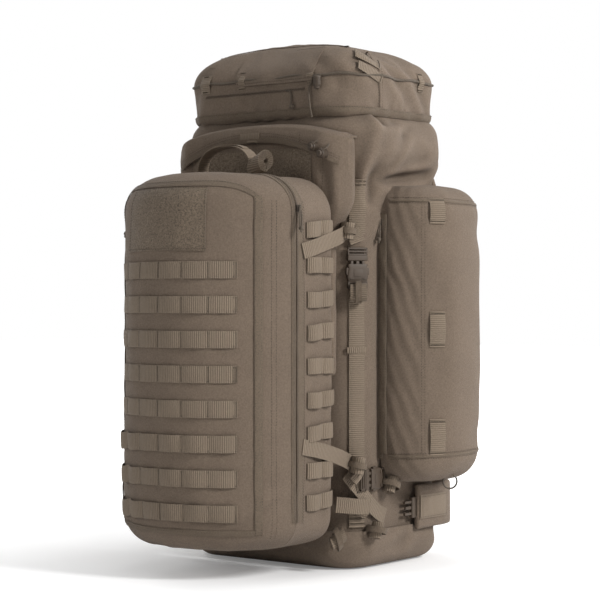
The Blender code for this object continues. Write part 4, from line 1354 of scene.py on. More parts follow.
LOOP_TURN = radians(25.5)
turns = np.linspace(-LOOP_TURN, LOOP_TURN, 60)
path = [on_daypack(t, 0.5345 - 0.002 * (t / LOOP_TURN) ** 2) for t in turns]
loop_panel = lay_band(front_tree, path, [arc_inward(t) for t in turns], UP, 0.093, 0.0018, lines=30)
add_piece("daypack_loop_panel", loop_panel, LOOP_PILE, "daypack_panel")
for z in (0.490, 0.579):
    seam_on(front_tree, [on_daypack(t, z) for t in turns], [arc_inward(t) for t in turns],
            "daypack_panel", 0.0024)
for turn in (-LOOP_TURN + 0.010, LOOP_TURN - 0.010):
    seam_on(front_tree, [on_daypack(turn, z) for z in np.linspace(0.490, 0.579, 20)],
            arc_inward(turn), "daypack_panel", 0.0024)
print("panel strips:", len(strips))

# %% [markdown]
# The zip runs up both sides and over the top where the two halves meet. Each half carries its
# own tape and its own row of the coil, so both stay whole when the front tips open.

# %% The daypack's zip
tray_tree = search_tree(tray_skin)


def split_loop(y, grow):
    """The edge of the split seen from the front, from the left foot to the right foot."""
    points = []
    for height, inset in DAYPACK_LEVELS:
        if height > 0.085:
            lift = grow * max(0.0, (height - 0.546) / 0.056)
            points.append(Vector((-daypack_half(inset) - grow + lift, y, height + lift)))
    mirrored = [Vector((-p.x, p.y, p.z)) for p in points[::-1]]
    middle = between(points[-1], mirrored[0], 24)[1:-1]
    return [Vector(p) for p in evenly(points + middle + mirrored, 190)]


def towards_core(points):
    core = Vector((0, 0, 0.33))
    ways = []
    for p, tangent in zip(points, tangents(points)):
        way = tangent.cross(BACK).normalized()
        ways.append(way if way.dot(Vector((core.x - p.x, 0, core.z - p.z))) > 0 else -way)
    return ways


tray_line = split_loop(DAYPACK_SPLIT + 0.0075, 0.003)
tray_ways = towards_core(tray_line)
zip_tape = lay_band(tray_tree, tray_line, tray_ways, BACK, 0.0150, 0.0009, reach=0)
add_piece("daypack_zip_tape", zip_tape, BINDING, "bag")
seam_on(tray_tree, [p + BACK * 0.0055 for p in tray_line], tray_ways, "bag", 0.0012)
seam_on(tray_tree, [p - BACK * 0.0052 for p in tray_line], tray_ways, "bag", 0.0014, coil_lines)
front_line = split_loop(DAYPACK_SPLIT - 0.0060, 0.003)
front_tape = lay_band(front_tree, front_line, towards_core(front_line), BACK, 0.0085, 0.0009, reach=0)
add_piece("daypack_front_zip_tape", front_tape, BINDING, "daypack_panel")
seam_on(front_tree, [p + BACK * 0.0020 for p in front_line], towards_core(front_line),
        "daypack_panel", 0.0012, coil_lines)
print("zip runs", round(path_length(tray_line), 3), "m")

# %% Side ladders, the same webbing grid on both flanks
ladder = []
LADDER_HEIGHTS = (0.521, 0.467, 0.417, 0.368, 0.317, 0.268, 0.218, 0.162, 0.116)
for side_name, sign in SIDES:
    way, x = Vector((-sign, 0, 0)), sign * 0.164
    for n, height in enumerate(LADDER_HEIGHTS):
        ys = np.linspace(-0.226, -0.160, 34)
        rise = tack_rise(ys, [-0.226, -0.193, -0.160], 0.0058 + 0.0012 * (n % 2))
        path = [Vector((x, y, height + 0.05 * (y + 0.193) + 0.0012 * sin(n * 2.1 + y * 60))) for y in ys]
        ladder.append(lay_band(tray_tree, path, way, UP, 0.0235, 0.0017, rise))
        for y in (-0.225, -0.193, -0.161):
            tack_on(tray_tree, (x, y, height + 0.05 * (y + 0.193)), way, UP, 0.021, "bag", 0.0024)
add_joined("daypack_side_ladders", ladder, TAPE, "bag")
for sign in (-1, 1):
    for y in (-0.2300, -0.1560):
        seam_on(tray_tree, between((sign * 0.164, y, 0.085), (sign * 0.164, y, 0.560), 90),
                (-sign, 0, 0), "bag")

# %% [markdown]
# ## Buckles, rolls and straps
# A side-release buckle is a flat shell with two windows where the prongs show, and a bar for
# the webbing at each end. Loose strap ends are rolled up and held with an elastic keeper, so
# each roll is a short spiral of webbing.

# %% Hardware helpers
def placed_axes(origin, *axes):
    return Matrix.Translation(Vector(origin)) @ Matrix(axes).transposed().to_4x4()


def local_frame(origin, along, normal):
    """A matrix whose Y runs along a part and whose Z faces out of it."""
    along, normal = Vector(along).normalized(), Vector(normal).normalized()
    side = along.cross(normal).normalized()
    normal = side.cross(along)
    return placed_axes(origin, side, along, normal)


def block(size, centre, bevel, segments=2):
    """A softened block in local coordinates."""
    work = bmesh.new()
    bmesh.ops.create_cube(work, size=1.0)
    bmesh.ops.scale(work, vec=size, verts=work.verts)
    bmesh.ops.translate(work, vec=centre, verts=work.verts)
    bmesh.ops.bevel(work, geom=work.edges, offset=bevel, segments=segments, profile=0.6, affect="EDGES")
    mesh = bpy.data.meshes.new("block")
    work.to_mesh(mesh)
    work.free()
    return mesh


def bar_frame(width, length, bar, thickness, centre=(0, 0, 0), cross_bars=()):
    """A rectangular loop of bars with any cross bars, as ladder locks and slides have."""
    cx, cy, cz = centre
    parts = []
    for s in (-1, 1):
        parts.append(block((bar, length, thickness), (cx + s * (width - bar) / 2, cy, cz), bar * 0.3))
        parts.append(block((width, bar, thickness), (cx, cy + s * (length - bar) / 2, cz), bar * 0.3))
    for y in cross_bars:
        parts.append(block((width, bar, thickness * 0.9), (cx, cy + y, cz + thickness * 0.15),
                           bar * 0.3))
    return parts


def placed(parts, matrix, name):
    mesh = joined(parts, name)
    mesh.transform(matrix)
    return mesh


BUCKLE_WIDTH, BUCKLE_THICK = 0.034, 0.009


def socket_parts():
    """The shell of a side-release buckle, its mouth at +Y and its strap bar at -Y."""
    width, length, thick = BUCKLE_WIDTH, 0.028, BUCKLE_THICK
    rows = []
    for y, w, t in ((-0.5, 0.80, 0.55), (-0.42, 0.92, 0.78), (-0.2, 1.0, 0.95), (0.1, 0.94, 1.0),
                    (0.30, 0.90, 1.0), (0.42, 0.96, 0.95), (0.5, 0.92, 0.80)):
        row = []
        for turn in full_turn(28):
            row.append((width / 2 * w * signed_power(cos(turn), 0.25), y * length,
                        thick / 2 * t * signed_power(sin(turn), 0.45)))
        rows.append(row)
    shell = grid_mesh("shell", rows, closed=True)
    close_shell(shell)
    parts = [shell, block((width * 0.42, length * 0.40, 0.0012), (0, 0.02 * length, thick / 2), 0.0005)]
    for s in (-1, 1):
        parts += [block((0.0060, length * 0.42, thick * 0.62), (s * width * 0.46, 0.10 * length, 0),
                        0.0018),
                  block((width * 0.16, 0.0014, 0.0012), (s * width * 0.30, -0.30 * length, thick / 2),
                        0.0004)]
    parts += bar_frame(width * 0.94, 0.011, 0.0030, thick * 0.55, (0, -length / 2 - 0.004, 0))
    return parts


def plug_parts():
    """The other half: a strap bar and base, its prongs towards +Y."""
    width, base, thick = BUCKLE_WIDTH, 0.014, BUCKLE_THICK
    parts = [block((width * 0.96, base * 0.60, thick * 0.72), (0, -0.002, 0), 0.0016, 3)]
    parts += bar_frame(width * 0.96, 0.012, 0.0028, thick * 0.50, (0, -base * 0.5 - 0.005, 0), (0.0,))
    for s in (-1, 1):
        parts.append(block((0.0045, 0.018, 0.0042), (s * width * 0.27, base * 0.25 + 0.008, 0), 0.0012))
    parts.append(block((0.0050, 0.016, 0.0035), (0, base * 0.25 + 0.007, 0), 0.0010))
    return parts


ROLL_INNER, ROLL_GAP = 0.0034, 0.0025
KEEPER_WIDTH, KEEPER_REACH = 0.009, (0.0176, 0.0134)


def roll_mesh(centre, axis, start, width=0.025, turns=4.6, squash=0.74):
    """A rolled strap end: webbing wound in a flattened spiral about an axis."""
    axis, start = Vector(axis).normalized(), Vector(start).normalized()
    other = axis.cross(start)
    path = []
    for t in np.linspace(0, turns * 2 * pi, int(turns * 18)):
        r = ROLL_INNER + ROLL_GAP * t / (2 * pi)
        path.append(Vector(centre) + start * (r * cos(t)) + other * (r * sin(t) * squash))
    return free_band(path, axis, width, 0.0015, 4)


def keeper_mesh(centre, axis, start):
    """The elastic band round a roll."""
    axis, start = Vector(axis).normalized(), Vector(start).normalized()
    other = axis.cross(start)
    path = [Vector(centre) + start * (KEEPER_REACH[0] * cos(t)) + other * (KEEPER_REACH[1] * sin(t))
            for t in np.linspace(0, 2 * pi, 28)]
    return free_band(path, axis, KEEPER_WIDTH, 0.0011, 4)


# %% Side buckles and their straps
def corner_frame(sign, turn_degrees, height, out=0.0):
    """A frame on the bag's rounded front corner, facing out."""
    turn = radians(turn_degrees)
    normal = Vector((sign * cos(turn), -sin(turn), 0))
    centre = Vector((sign * 0.112, -0.065, height)) + normal * (0.060 + out)
    return centre, normal


CORNER_TURN = 33.75             # where the straps run down the bag's rounded corners, in degrees
PLUG_INSET = 0.007
for side_name, sign in SIDES:
    _, normal = corner_frame(sign, CORNER_TURN, 0.47)
    for level, along, out in (("upper", UP, normal), ("lower", -BACK, Vector((sign, 0, 0)))):
        socket, plug = f"{level}_buckle_socket_{side_name}", f"{level}_buckle_plug_{side_name}"
        shell, prongs = f"{level}_buckle_shell_{side_name}", f"{level}_buckle_prongs_{side_name}"
        _, _, centre = box_of(socket)
        add_piece(shell, placed(socket_parts(), local_frame(centre, along, out), shell), BUCKLE, "bag",
                  (socket,))
        low, high, plug_at = box_of(plug)
        if level == "upper":
            plug_at.z = high.z - PLUG_INSET
        else:
            plug_at.y = low.y + PLUG_INSET
        add_piece(prongs, placed(plug_parts(), local_frame(plug_at, -along, out), prongs), BUCKLE,
                  f"{level}_plug_{side_name}", (plug,))
print("side buckles placed at", [round(v, 3) for v in centre])

# %% [markdown]
# The straps that hold the daypack to the bag leave its side walls, pass a rolled-up spare end
# and reach the buckles on the bag's corners. A second strap runs down each corner of the bag,
# and more webbing hangs folded and rolled near the base.

# %% Corner straps
bag_tree = search_tree(bag_skin, boot_skin)
for side_name, sign in SIDES:
    centre, normal = corner_frame(sign, CORNER_TURN, 0.25, 0.01)
    tangent = UP.cross(normal).normalized()
    heights = np.linspace(0.066, 0.452, 80)
    path = [Vector((centre.x, centre.y, z)) for z in heights]
    rise = 0.0006 + 0.0010 * np.abs(np.sin(heights * 23))
    mesh = lay_band(bag_tree, path, -normal, tangent, 0.0252, 0.0018, rise, name="corner_strap")
    middle = Vector((centre.x, centre.y, 0.338))
    keeper = [middle + tangent * s for s in np.linspace(-0.0165, 0.0165, 14)]
    corner = lay_band(bag_tree, keeper, -normal, UP, 0.009, 0.0014, 0.0032, name="keeper")
    upper = between((centre.x, centre.y, 0.515), (centre.x, centre.y, 0.600), 22)
    rising = lay_band(bag_tree, upper, -normal, tangent, 0.0252, 0.0018, 0.0020, name="rising")
    add_joined(f"corner_strap_{side_name}", [mesh, corner, rising], TAPE, "bag",
               (f"side_strap_{side_name}",))
    for z in (0.072, 0.080, 0.592, 0.598):
        tack_on(bag_tree, (centre.x, centre.y, z), -normal, tangent, 0.022, "bag", 0.0042)

# %% Compression straps and rolled ends
def plug_strap(name, path, across):
    """A strap from the daypack's wall to a plug: it follows the bag, then the plug."""
    piece = add_piece(name, free_band(path, across, 0.0235, 0.0018, name=name), TAPE, None)
    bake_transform(piece)


def plug_roll(name, centre, axis, start, plug):
    """The rolled spare end of a strap, which goes where its plug goes."""
    add_piece(f"{name}_roll", roll_mesh(centre, axis, start), TAPE, plug, angle=70)
    add_piece(f"{name}_roll_keeper", keeper_mesh(centre, axis, start), BINDING, plug)


spare = []
keepers = []
for side_name, sign in SIDES:
    def at(x, y, z):
        return Vector((sign * x, y, z))

    upper = smooth_path([at(0.1655, -0.236, 0.487), at(0.1705, -0.215, 0.493),
                         at(0.1715, -0.180, 0.503), at(0.1720, -0.150, 0.512),
                         at(0.1640, -0.128, 0.519), at(0.1570, -0.118, 0.520)], 6)
    plug_strap(f"upper_strap_{side_name}", upper, UP)
    plug_roll(f"upper_{side_name}", at(0.1680, -0.131, 0.5200), (0, 0.15, 1), (sign, -0.6, 0),
              f"upper_plug_{side_name}")
    lower = smooth_path([at(0.1650, -0.236, 0.1980), at(0.1700, -0.205, 0.1920),
                         at(0.1715, -0.170, 0.1830), at(0.1720, -0.145, 0.1750),
                         at(0.1700, -0.120, 0.1660), at(0.1710, -0.106, 0.1620)], 6)
    plug_strap(f"lower_strap_{side_name}", lower, (0, 0.25, 1))
    plug_roll(f"lower_{side_name}", at(0.1800, -0.121, 0.1640), (0, 0.25, 1), (sign, -0.4, 0),
              f"lower_plug_{side_name}")
    for centre, axis, start, turns in (
            (at(0.1730, -0.108, 0.4270), (0.8 * sign, 0.6, 0.05), (0, 0, 1), 4.6),
            (at(0.1860, -0.043, 0.1290), (0, 0.5, 1), (sign, 0, 0), 3.4),
            (at(0.1560, -0.139, 0.0520), (0.5 * sign, 0.5, 0.75), (0, -0.4, 1), 3.4),
            (at(0.1860, -0.080, 0.0620), (0.1, 0.3, 1), (sign, 0, 0), 3.4)):
        spare.append(roll_mesh(centre, axis, start, turns=turns))
        keepers.append(keeper_mesh(centre, axis, start))
    anchor = smooth_path([at(0.1760, -0.056, 0.1390), at(0.1765, -0.045, 0.1340),
                          at(0.1758, -0.020, 0.1220)], 6)
    spare.append(free_band(anchor, (0, 0.4, 1), 0.0230, 0.0018))
    spare.append(free_band(smooth_path([at(0.1600, -0.122, 0.1500), at(0.1740, -0.098, 0.1180),
                                        at(0.1775, -0.070, 0.0920), at(0.1780, -0.045, 0.0800)], 8),
                           (0, 0.7, 0.7), 0.0240, 0.0018))
    for lift in (0.0, 0.0032, 0.0064):
        fold = smooth_path([at(0.150 + lift, -0.137 - lift, 0.104), at(0.168 + lift, -0.118, 0.101),
                            at(0.179 + lift * 0.6, -0.092, 0.092 + lift)], 6)
        spare.append(free_band(fold, (0.1 * sign, 0.1, 1), 0.0235, 0.0018))
    _, normal = corner_frame(sign, CORNER_TURN, 0.47)
    for level, across, width, route in (
            ("upper", UP.cross(normal), 0.0235,
             [at(0.1660, -0.1010, 0.503), at(0.1650, -0.1060, 0.514), at(0.1630, -0.1130, 0.520)]),
            ("lower", UP, 0.0220,
             [at(0.1775, -0.1120, 0.141), at(0.1770, -0.1160, 0.146), at(0.1750, -0.1210, 0.152)])):
        name = f"{level}_plug_webbing_{side_name}"
        add_piece(name, free_band(smooth_path(route, 5), across, width, 0.0018, name=name), TAPE,
                  f"{level}_plug_{side_name}")
add_joined("compression_straps", spare, TAPE, "bag", angle=70)
add_joined("strap_keepers", keepers, BINDING, "bag")
print("rolled ends:", len(keepers))

# %% [markdown]
# ## The lid's fittings
# A storm flap hangs over the lid's zip, shock cord is laced round the crown through small
# webbing loops, and a spring toggle holds it tight at the front.

# %% Lid storm flap, cord and loops
lid_tree = search_tree(lid_skin)


def lid_line(height):
    """Points and inward rays all round the lid at one height."""
    out, count = 0.02, 200
    outline = evenly(rounded_box(LID_HALF_WIDTH + out, -LID_HALF_DEPTH - out, LID_HALF_DEPTH + out,
                                 LID_CORNER + out, 16), count, True)
    points, ways = [], []
    for i, (x, y) in enumerate(outline):
        nx, ny = outline[(i + 1) % count] - outline[i - 1]
        way = Vector((-ny, nx, 0)).normalized()
        if way.dot(Vector((-x, -y, 0))) < 0:
            way = -way
        points.append(Vector((x, y, height)))
        ways.append(way)
    return points, ways


points, ways = lid_line(0.7620)
cord_path = []
for p, way in zip(points, ways):
    hit, _ = closest_on(lid_tree, p, way)
    cord_path.append(hit - way * 0.0016)
arr = np.array([list(p) for p in cord_path])
for _ in range(3):
    arr = (np.roll(arr, 1, 0) + 2 * arr + np.roll(arr, -1, 0)) / 4
arr[:, 2] = 0.762 + 0.0012 * np.sin(np.linspace(0, 26 * pi, len(arr)))
rings = []
for i in range(len(arr)):
    tangent = Vector(arr[(i + 1) % len(arr)] - arr[i - 1]).normalized()
    side = tangent.cross(UP).normalized()
    rings.append([Vector(arr[i]) + 0.0021 * (side * cos(t) + UP * sin(t))
                  for t in full_turn(10)])
rings.append(rings[0])
cord_mesh = grid_mesh("lid_cord_run", rings, closed=True)
work = bmesh.new()
work.from_mesh(cord_mesh)
bmesh.ops.remove_doubles(work, verts=work.verts, dist=1e-6)
bmesh.ops.recalc_face_normals(work, faces=work.faces)
work.to_mesh(cord_mesh)
work.free()
add_piece("lid_cord_run", cord_mesh, CORD_BRAID, "lid", ("lid_cord",))

lid_bands = []
for x, y, way in ((-0.118, -0.15, (0, 1, 0)), (-0.040, -0.15, (0, 1, 0)), (0.098, -0.15, (0, 1, 0)),
                  (0.20, 0.060, (-1, 0, 0)), (-0.20, -0.060, (1, 0, 0)),
                  (-0.20, 0.060, (1, 0, 0)), (-0.10, 0.15, (0, -1, 0)), (0.10, 0.15, (0, -1, 0))):
    way = Vector(way)
    side = UP.cross(way).normalized()
    heights = np.linspace(0.747, 0.777, 16)
    rise = 0.0036 * np.exp(-((heights - 0.762) / 0.0055) ** 2)
    wide = 0.024 if y < 0 and x < -0.1 else 0.0125
    lid_bands.append(lay_band(lid_tree, [Vector((x, y, z)) for z in heights], way, side, wide, 0.0013,
                              rise, soften=1))
    for z in (0.7495, 0.7745):
        tack_on(lid_tree, (x, y, z), way, side, 0.011, "lid", 0.0018)
add_joined("lid_cord_loops", lid_bands, TAPE, "lid")

flap_rows = []
columns = np.linspace(-0.052, 0.104, 44)
for t in np.linspace(0, 1, 18):
    row = []
    for x in columns:
        z = 0.8095 - 0.0560 * t
        above = (x, -0.125 if t > 0.15 else -0.118, z)
        hit, _ = closest_on(lid_tree, above, (0, 1, -0.0001 - 0.9 * max(0, 0.25 - t)))
        swing = 0.0010 + 0.0030 * t ** 1.5 * (1 + 0.4 * sin(x * 70 + 1.0))
        row.append(hit + Vector((0, -swing, 0)))
    flap_rows.append(row)
storm_mesh = grid_mesh("lid_storm_flap", np.array([[list(p) for p in row] for row in flap_rows]))
if sum(v.normal.y for v in storm_mesh.vertices) > 0:
    storm_mesh.flip_normals()
storm_flap = add_piece("lid_storm_flap", storm_mesh, CLOTH, "lid")
refine(storm_flap, 1, 0.0012)
storm_tree = search_tree(storm_flap)
seam_on(storm_tree, [Vector((x, -0.15, 0.7575)) for x in columns], BACK, "lid")
seam_on(lid_tree, between((-0.12, -0.15, 0.8080), (0.12, -0.15, 0.8080), 60), BACK, "lid")
tabs = []
inward_left = Vector((-0.85, 0.5, 0))
for start, end in (((0.186, -0.056, 0.779), (0.166, -0.096, 0.797)),
                   ((0.186, -0.056, 0.757), (0.166, -0.098, 0.777))):
    path = between(start, end, 14)
    rise = 0.0008 + 0.0050 * np.linspace(0, 1, 14) ** 2
    across = (path[-1] - path[0]).cross(inward_left).normalized()
    tabs.append(lay_band(lid_tree, path, inward_left, across, 0.0150, 0.0016, rise))
    tack_on(lid_tree, path[1], inward_left, across, 0.013, "lid", 0.0030)
add_joined("lid_tabs", tabs, TAPE, "lid")

ridge_lines = []
points, ways = lid_line(0.7065)
hem = lay_band(lid_tree, points + points[:1], ways + ways[:1], UP, 0.0120, 0.0014, 0.0010)
add_piece("lid_hem", hem, BINDING, "lid")
seam_on(lid_tree, [p + UP * 0.0045 for p in points], ways, "lid", 0.0026)
for sign in (-1, 1):
    path = between((sign * 0.19, -0.052, 0.715), (sign * 0.19, -0.052, 0.812), 40)
    ridge_lines.append(lay_band(lid_tree, path, (-sign, 0, 0), BACK, 0.0060, 0.0012, 0.0001))
    seams_beside(lid_tree, path, BACK, (-0.0045, 0.0045), (-sign, 0, 0), "lid")
path = between((-0.130, -0.078, 0.86), (0.135, -0.078, 0.86), 70)
ridge_lines.append(lay_band(lid_tree, path, -UP, BACK, 0.0060, 0.0012, 0.0001))
seam_on(lid_tree, [p + BACK * 0.0048 for p in path], -UP, "lid")
add_joined("lid_felled_seams", ridge_lines, CLOTH, "lid")

zip_path = between((-0.115, -0.15, 0.741), (0.085, -0.15, 0.741), 80)
lid_zip = lay_band(lid_tree, zip_path, BACK, UP, 0.013, 0.0005, lift=0.0001)
add_piece("lid_zip_tape", lid_zip, CLOTH, "lid")
seam_on(lid_tree, zip_path, BACK, "lid", 0.0018, coil_lines)
print("lid fittings done")

# %% [markdown]
# ## Toggles and sliders
# A barrel toggle is turned about one axis, so a profile spun round that axis gives its ribs and
# its recessed button. Zip sliders have a body, a bridge and a cord pull.

# %% Turned parts
def lathe(profile, matrix, name):
    """Spins (radius, height) pairs round the local Z axis."""
    rings = [[(r * cos(t), r * sin(t), h) for t in full_turn(28)] for r, h in profile]
    mesh = grid_mesh(name, rings, closed=True)
    close_shell(mesh)
    mesh.transform(matrix)
    return mesh


def axis_matrix(origin, axis):
    axis = Vector(axis).normalized()
    side = axis.orthogonal().normalized()
    return placed_axes(origin, side, axis.cross(side), axis)


def toggle(node, axis, body, button_body):
    """A barrel toggle over a CAD lock, with its button."""
    low, high, centre = box_of(node)
    axis = Vector(axis).normalized()
    half = max(abs((high - low).dot(axis)), 0.01) / 2
    radius = min((high - low)[k] for k in range(3) if abs(axis[k]) < 0.5) / 2
    profile = [(0.0005, -half), (radius * 0.80, -half), (radius * 0.97, -half * 0.86)]
    for n in range(5):
        h = -half * 0.70 + n * half * 0.30
        profile += [(radius, h), (radius, h + half * 0.17), (radius * 0.90, h + half * 0.20),
                    (radius * 0.90, h + half * 0.27)]
    profile += [(radius, half * 0.86), (radius * 0.92, half), (radius * 0.68, half),
                (0.0005, half * 0.96)]
    add_piece(f"{node}_barrel", lathe(profile, axis_matrix(centre, axis), f"{node}_barrel"), BUCKLE,
              body, (node,), angle=35)
    low, high, centre = box_of(f"{node}_button")
    half = abs((high - low).dot(axis)) / 2
    radius = min((high - low)[k] for k in range(3) if abs(axis[k]) < 0.5) / 2
    profile = [(0.0005, -half), (radius * 0.96, -half), (radius, half * 0.6), (radius * 0.85, half),
               (radius * 0.45, half), (radius * 0.38, half * 0.85), (0.0005, half * 0.80)]
    add_piece(f"{node}_press", lathe(profile, axis_matrix(centre, axis), f"{node}_press"), BUCKLE,
              button_body, (f"{node}_button",), angle=35)


LOCKS = (("lid_cord_lock", (0, 0, -1), "lid", "lid_lock_button"),
         ("pocket_cord_lock_left", (0, -1, 0), "flap", "pocket_button_left"),
         ("pocket_cord_lock_right", (0, -1, 0), "flap", "pocket_button_right"))
for node, axis, body, button_body in LOCKS:
    toggle(node, axis, body, button_body)

# %% Sliders and pulls
PULL_RADIUS = 0.0013


def slider_parts():
    """A zip slider lying on XY with its nose to -Y and its bridge up Z."""
    parts = [block((0.0085, 0.0105, 0.0012), (0, 0, 0.0026), 0.0005),
             block((0.0085, 0.0105, 0.0012), (0, 0, 0.0002), 0.0005),
             block((0.0030, 0.0060, 0.0014), (0, 0, 0.0014), 0.0004),
             block((0.0022, 0.0085, 0.0012), (0, 0, 0.0056), 0.0005)]
    for s in (-1, 1):
        parts.append(block((0.0022, 0.0014, 0.0034), (0, s * 0.0040, 0.0042), 0.0004))
    return parts


def pull_mesh(start, drop, sideways, length):
    """A cord pull: a doubled loop of thin cord with a knot, hanging from the slider."""
    start, drop, sideways = Vector(start), Vector(drop).normalized(), Vector(sideways).normalized()
    loop = smooth_path([start, start + drop * length * 0.35 + sideways * 0.0022,
                        start + drop * length * 0.8 + sideways * 0.0018, start + drop * length,
                        start + drop * length * 0.8 - sideways * 0.0018,
                        start + drop * length * 0.35 - sideways * 0.0022, start], 5)
    mesh = tube_mesh("pull", loop, PULL_RADIUS, 8)
    knot = block((0.0062, 0.0060, 0.0066), (0, 0, 0), 0.0024, 3)
    knot.transform(local_frame(start + drop * length * 0.86, drop, drop.cross(sideways)))
    return joined([mesh, knot], "pull")


def make_slider(node, body, out, run, pull_drop, pull_length=0.042):
    """A slider in place of a CAD one, its base towards the cloth, with a cord pull."""
    out = Vector(out)
    base = box_of(node)[2] - out * 0.0030
    mesh = placed(slider_parts(), local_frame(base, run, out), f"{node}_metal")
    add_piece(f"{node}_metal", mesh, PAINTED_METAL, body, (node,), angle=35)
    pull = pull_mesh(base + out * 0.0048 + Vector(run) * 0.004, pull_drop,
                     Vector(run).cross(out), pull_length)
    add_piece(f"{node}_pull", pull, CORD_BRAID, body)


make_slider("lid_zip_slider", "lid_slider", (0, -1, 0), (1, 0, 0), (0.15, -0.10, -1), 0.030)
for side_name, sign in SIDES:
    make_slider(f"daypack_slider_{side_name}", f"daypack_zip_{side_name}", (sign, 0, 0), (0, 0, 1),
                (0.25 * sign, -0.25, -1))
    make_slider(f"pouch_slider_{side_name}", f"pouch_zip_{side_name}", (0, -1, 0), (0, 0, 1),
                (0.10 * sign, -0.15, -1), 0.036)

# %% [markdown]
# ## Pouch details
# A binding tape covers the zip's edge at the front of each pouch, seams join its end caps, a
# double-stitched seam runs down the outside, and three upright loops and a ring carry gear.

# %% Pouch seams, loops and rings
POUCH_OFF = 0.02                # how far outside the skin its paths are drawn


for side_name, sign in SIDES:
    body = f"pouch_{side_name}"
    tree = search_tree(pouch_skins[side_name])
    core = Vector((sign * (POUCH_INNER + 0.005), POUCH_CENTRE_Y, 0.36))

    def pouch_point(turn_degrees, height):
        turn = radians(turn_degrees)
        x = POUCH_INNER + (POUCH_DEPTH + POUCH_OFF) * cos(turn) ** 0.8
        y = POUCH_CENTRE_Y + (POUCH_HALF_LENGTH + POUCH_OFF) * signed_power(sin(turn), 0.8)
        return Vector((sign * x, y, height))

    def pouch_way(point):
        return Vector((core.x - point.x, core.y - point.y, 0)).normalized()

    bands, tapes = [], []
    heights = np.linspace(0.178, 0.548, 90)
    path = [Vector((sign * 0.1830, POUCH_CENTRE_Y - 0.11, z)) for z in heights]
    tapes.append(lay_band(tree, path, BACK, RIGHT, 0.0120, 0.0016,
                          0.0012 + 0.0006 * np.abs(np.sin(heights * 41))))
    seams_beside(tree, path, RIGHT, (-0.004, 0.004), BACK, body, 0.0030)
    for turn_degrees in (-51.0, -47.5):
        path = [pouch_point(turn_degrees, z) for z in np.linspace(0.172, 0.566, 100)]
        seam_on(tree, path, [pouch_way(p) for p in path], body)
    for height, lean in ((0.5690, -0.004), (0.1740, 0.006)):
        path = [pouch_point(t, height + lean * (t + 80) / 160) for t in np.linspace(-84, 84, 90)]
        ways = [pouch_way(p) for p in path]
        tapes.append(lay_band(tree, path, ways, UP, 0.0045, 0.0012, 0.0001))
        seams_beside(tree, path, UP, (-0.0042, 0.0042), ways, body)
    for low, high in ((0.532, 0.572), (0.342, 0.398), (0.176, 0.232)):
        path = [pouch_point(-33, z) for z in np.linspace(low, high, 26)]
        way = pouch_way(path[0])
        side = UP.cross(way).normalized()
        rise = tack_rise(np.linspace(0, 1, 26), [0.08, 0.92], 0.0030)
        bands.append(lay_band(tree, path, way, side, 0.0252, 0.0018, rise))
        for z in (low + 0.004, high - 0.004):
            tack_on(tree, (path[0].x, path[0].y, z), way, side, 0.022, body, 0.0026)
    ring_at = Vector((sign * 0.2420, 0.040, 0.1310))
    circle = [ring_at + Vector((0.0112 * cos(t) * 0.7 * sign, 0.0112 * cos(t) * 0.7, 0.0112 * sin(t)))
              for t in np.linspace(0, 2 * pi, 33)]
    ring = tube_mesh(f"pouch_ring_{side_name}", circle, 0.0014, 10)
    add_piece(f"pouch_ring_{side_name}", ring, PAINTED_METAL, body)
    hanger = [ring_at + Vector((sign * x, 0, z)) for x, z in
              ((0, 0.022), (0.002, 0.0112), (0, 0.0085), (-0.003, 0.0112), (-0.002, 0.022))]
    bands.append(free_band(smooth_path(hanger, 6), (0.7, 0.7, 0), 0.0130))
    add_joined(f"pouch_loops_{side_name}", bands, TAPE, body)
    add_joined(f"pouch_tapes_{side_name}", tapes, BINDING, body)

    panel_low, panel_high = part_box(f"pouch_panel_{side_name}")
    grid = []
    for z in np.linspace(panel_low[2] + 0.001, panel_high[2] - 0.001, 60):
        edge = max(0.0, 0.045 - min(z - panel_low[2], panel_high[2] - z)) * 0.7
        grid.append([(sign * (abs(panel_high[0] if sign > 0 else panel_low[0]) - 0.0006), y, z)
                     for y in np.linspace(panel_low[1] + edge, panel_high[1] - edge, 20)])
    panel = grid_mesh(f"pouch_panel_skin_{side_name}", grid)
    if sum(p.normal.x for p in panel.polygons) * sign < 0:
        panel.flip_normals()
    panel = add_piece(f"pouch_panel_skin_{side_name}", panel, CLOTH_DARK, "bag",
                      (f"pouch_panel_{side_name}",))
    refine(panel, 0, 0.0020)
    path = between((sign * 0.1768, -0.0562, 0.170), (sign * 0.1768, -0.0562, 0.550), 60)
    zip_name = f"pouch_zip_tape_{side_name}"
    add_piece(zip_name, free_band(path, RIGHT, 0.0080, 0.0010, name=zip_name), BINDING, "bag")
    coil_lines.setdefault("bag", []).append(([p + Vector((0, -0.0012, 0)) for p in path],
                                             [Vector((0, -1, 0))] * len(path)))
print("pouch details done")

# %% [markdown]
# ## Pocket and flap details
# Hook-and-loop pile faces the pocket below its flap. The flap has bound edges, a small plain
# patch, a webbing tab, and two toggles hanging on shock cord at its lower right corner.

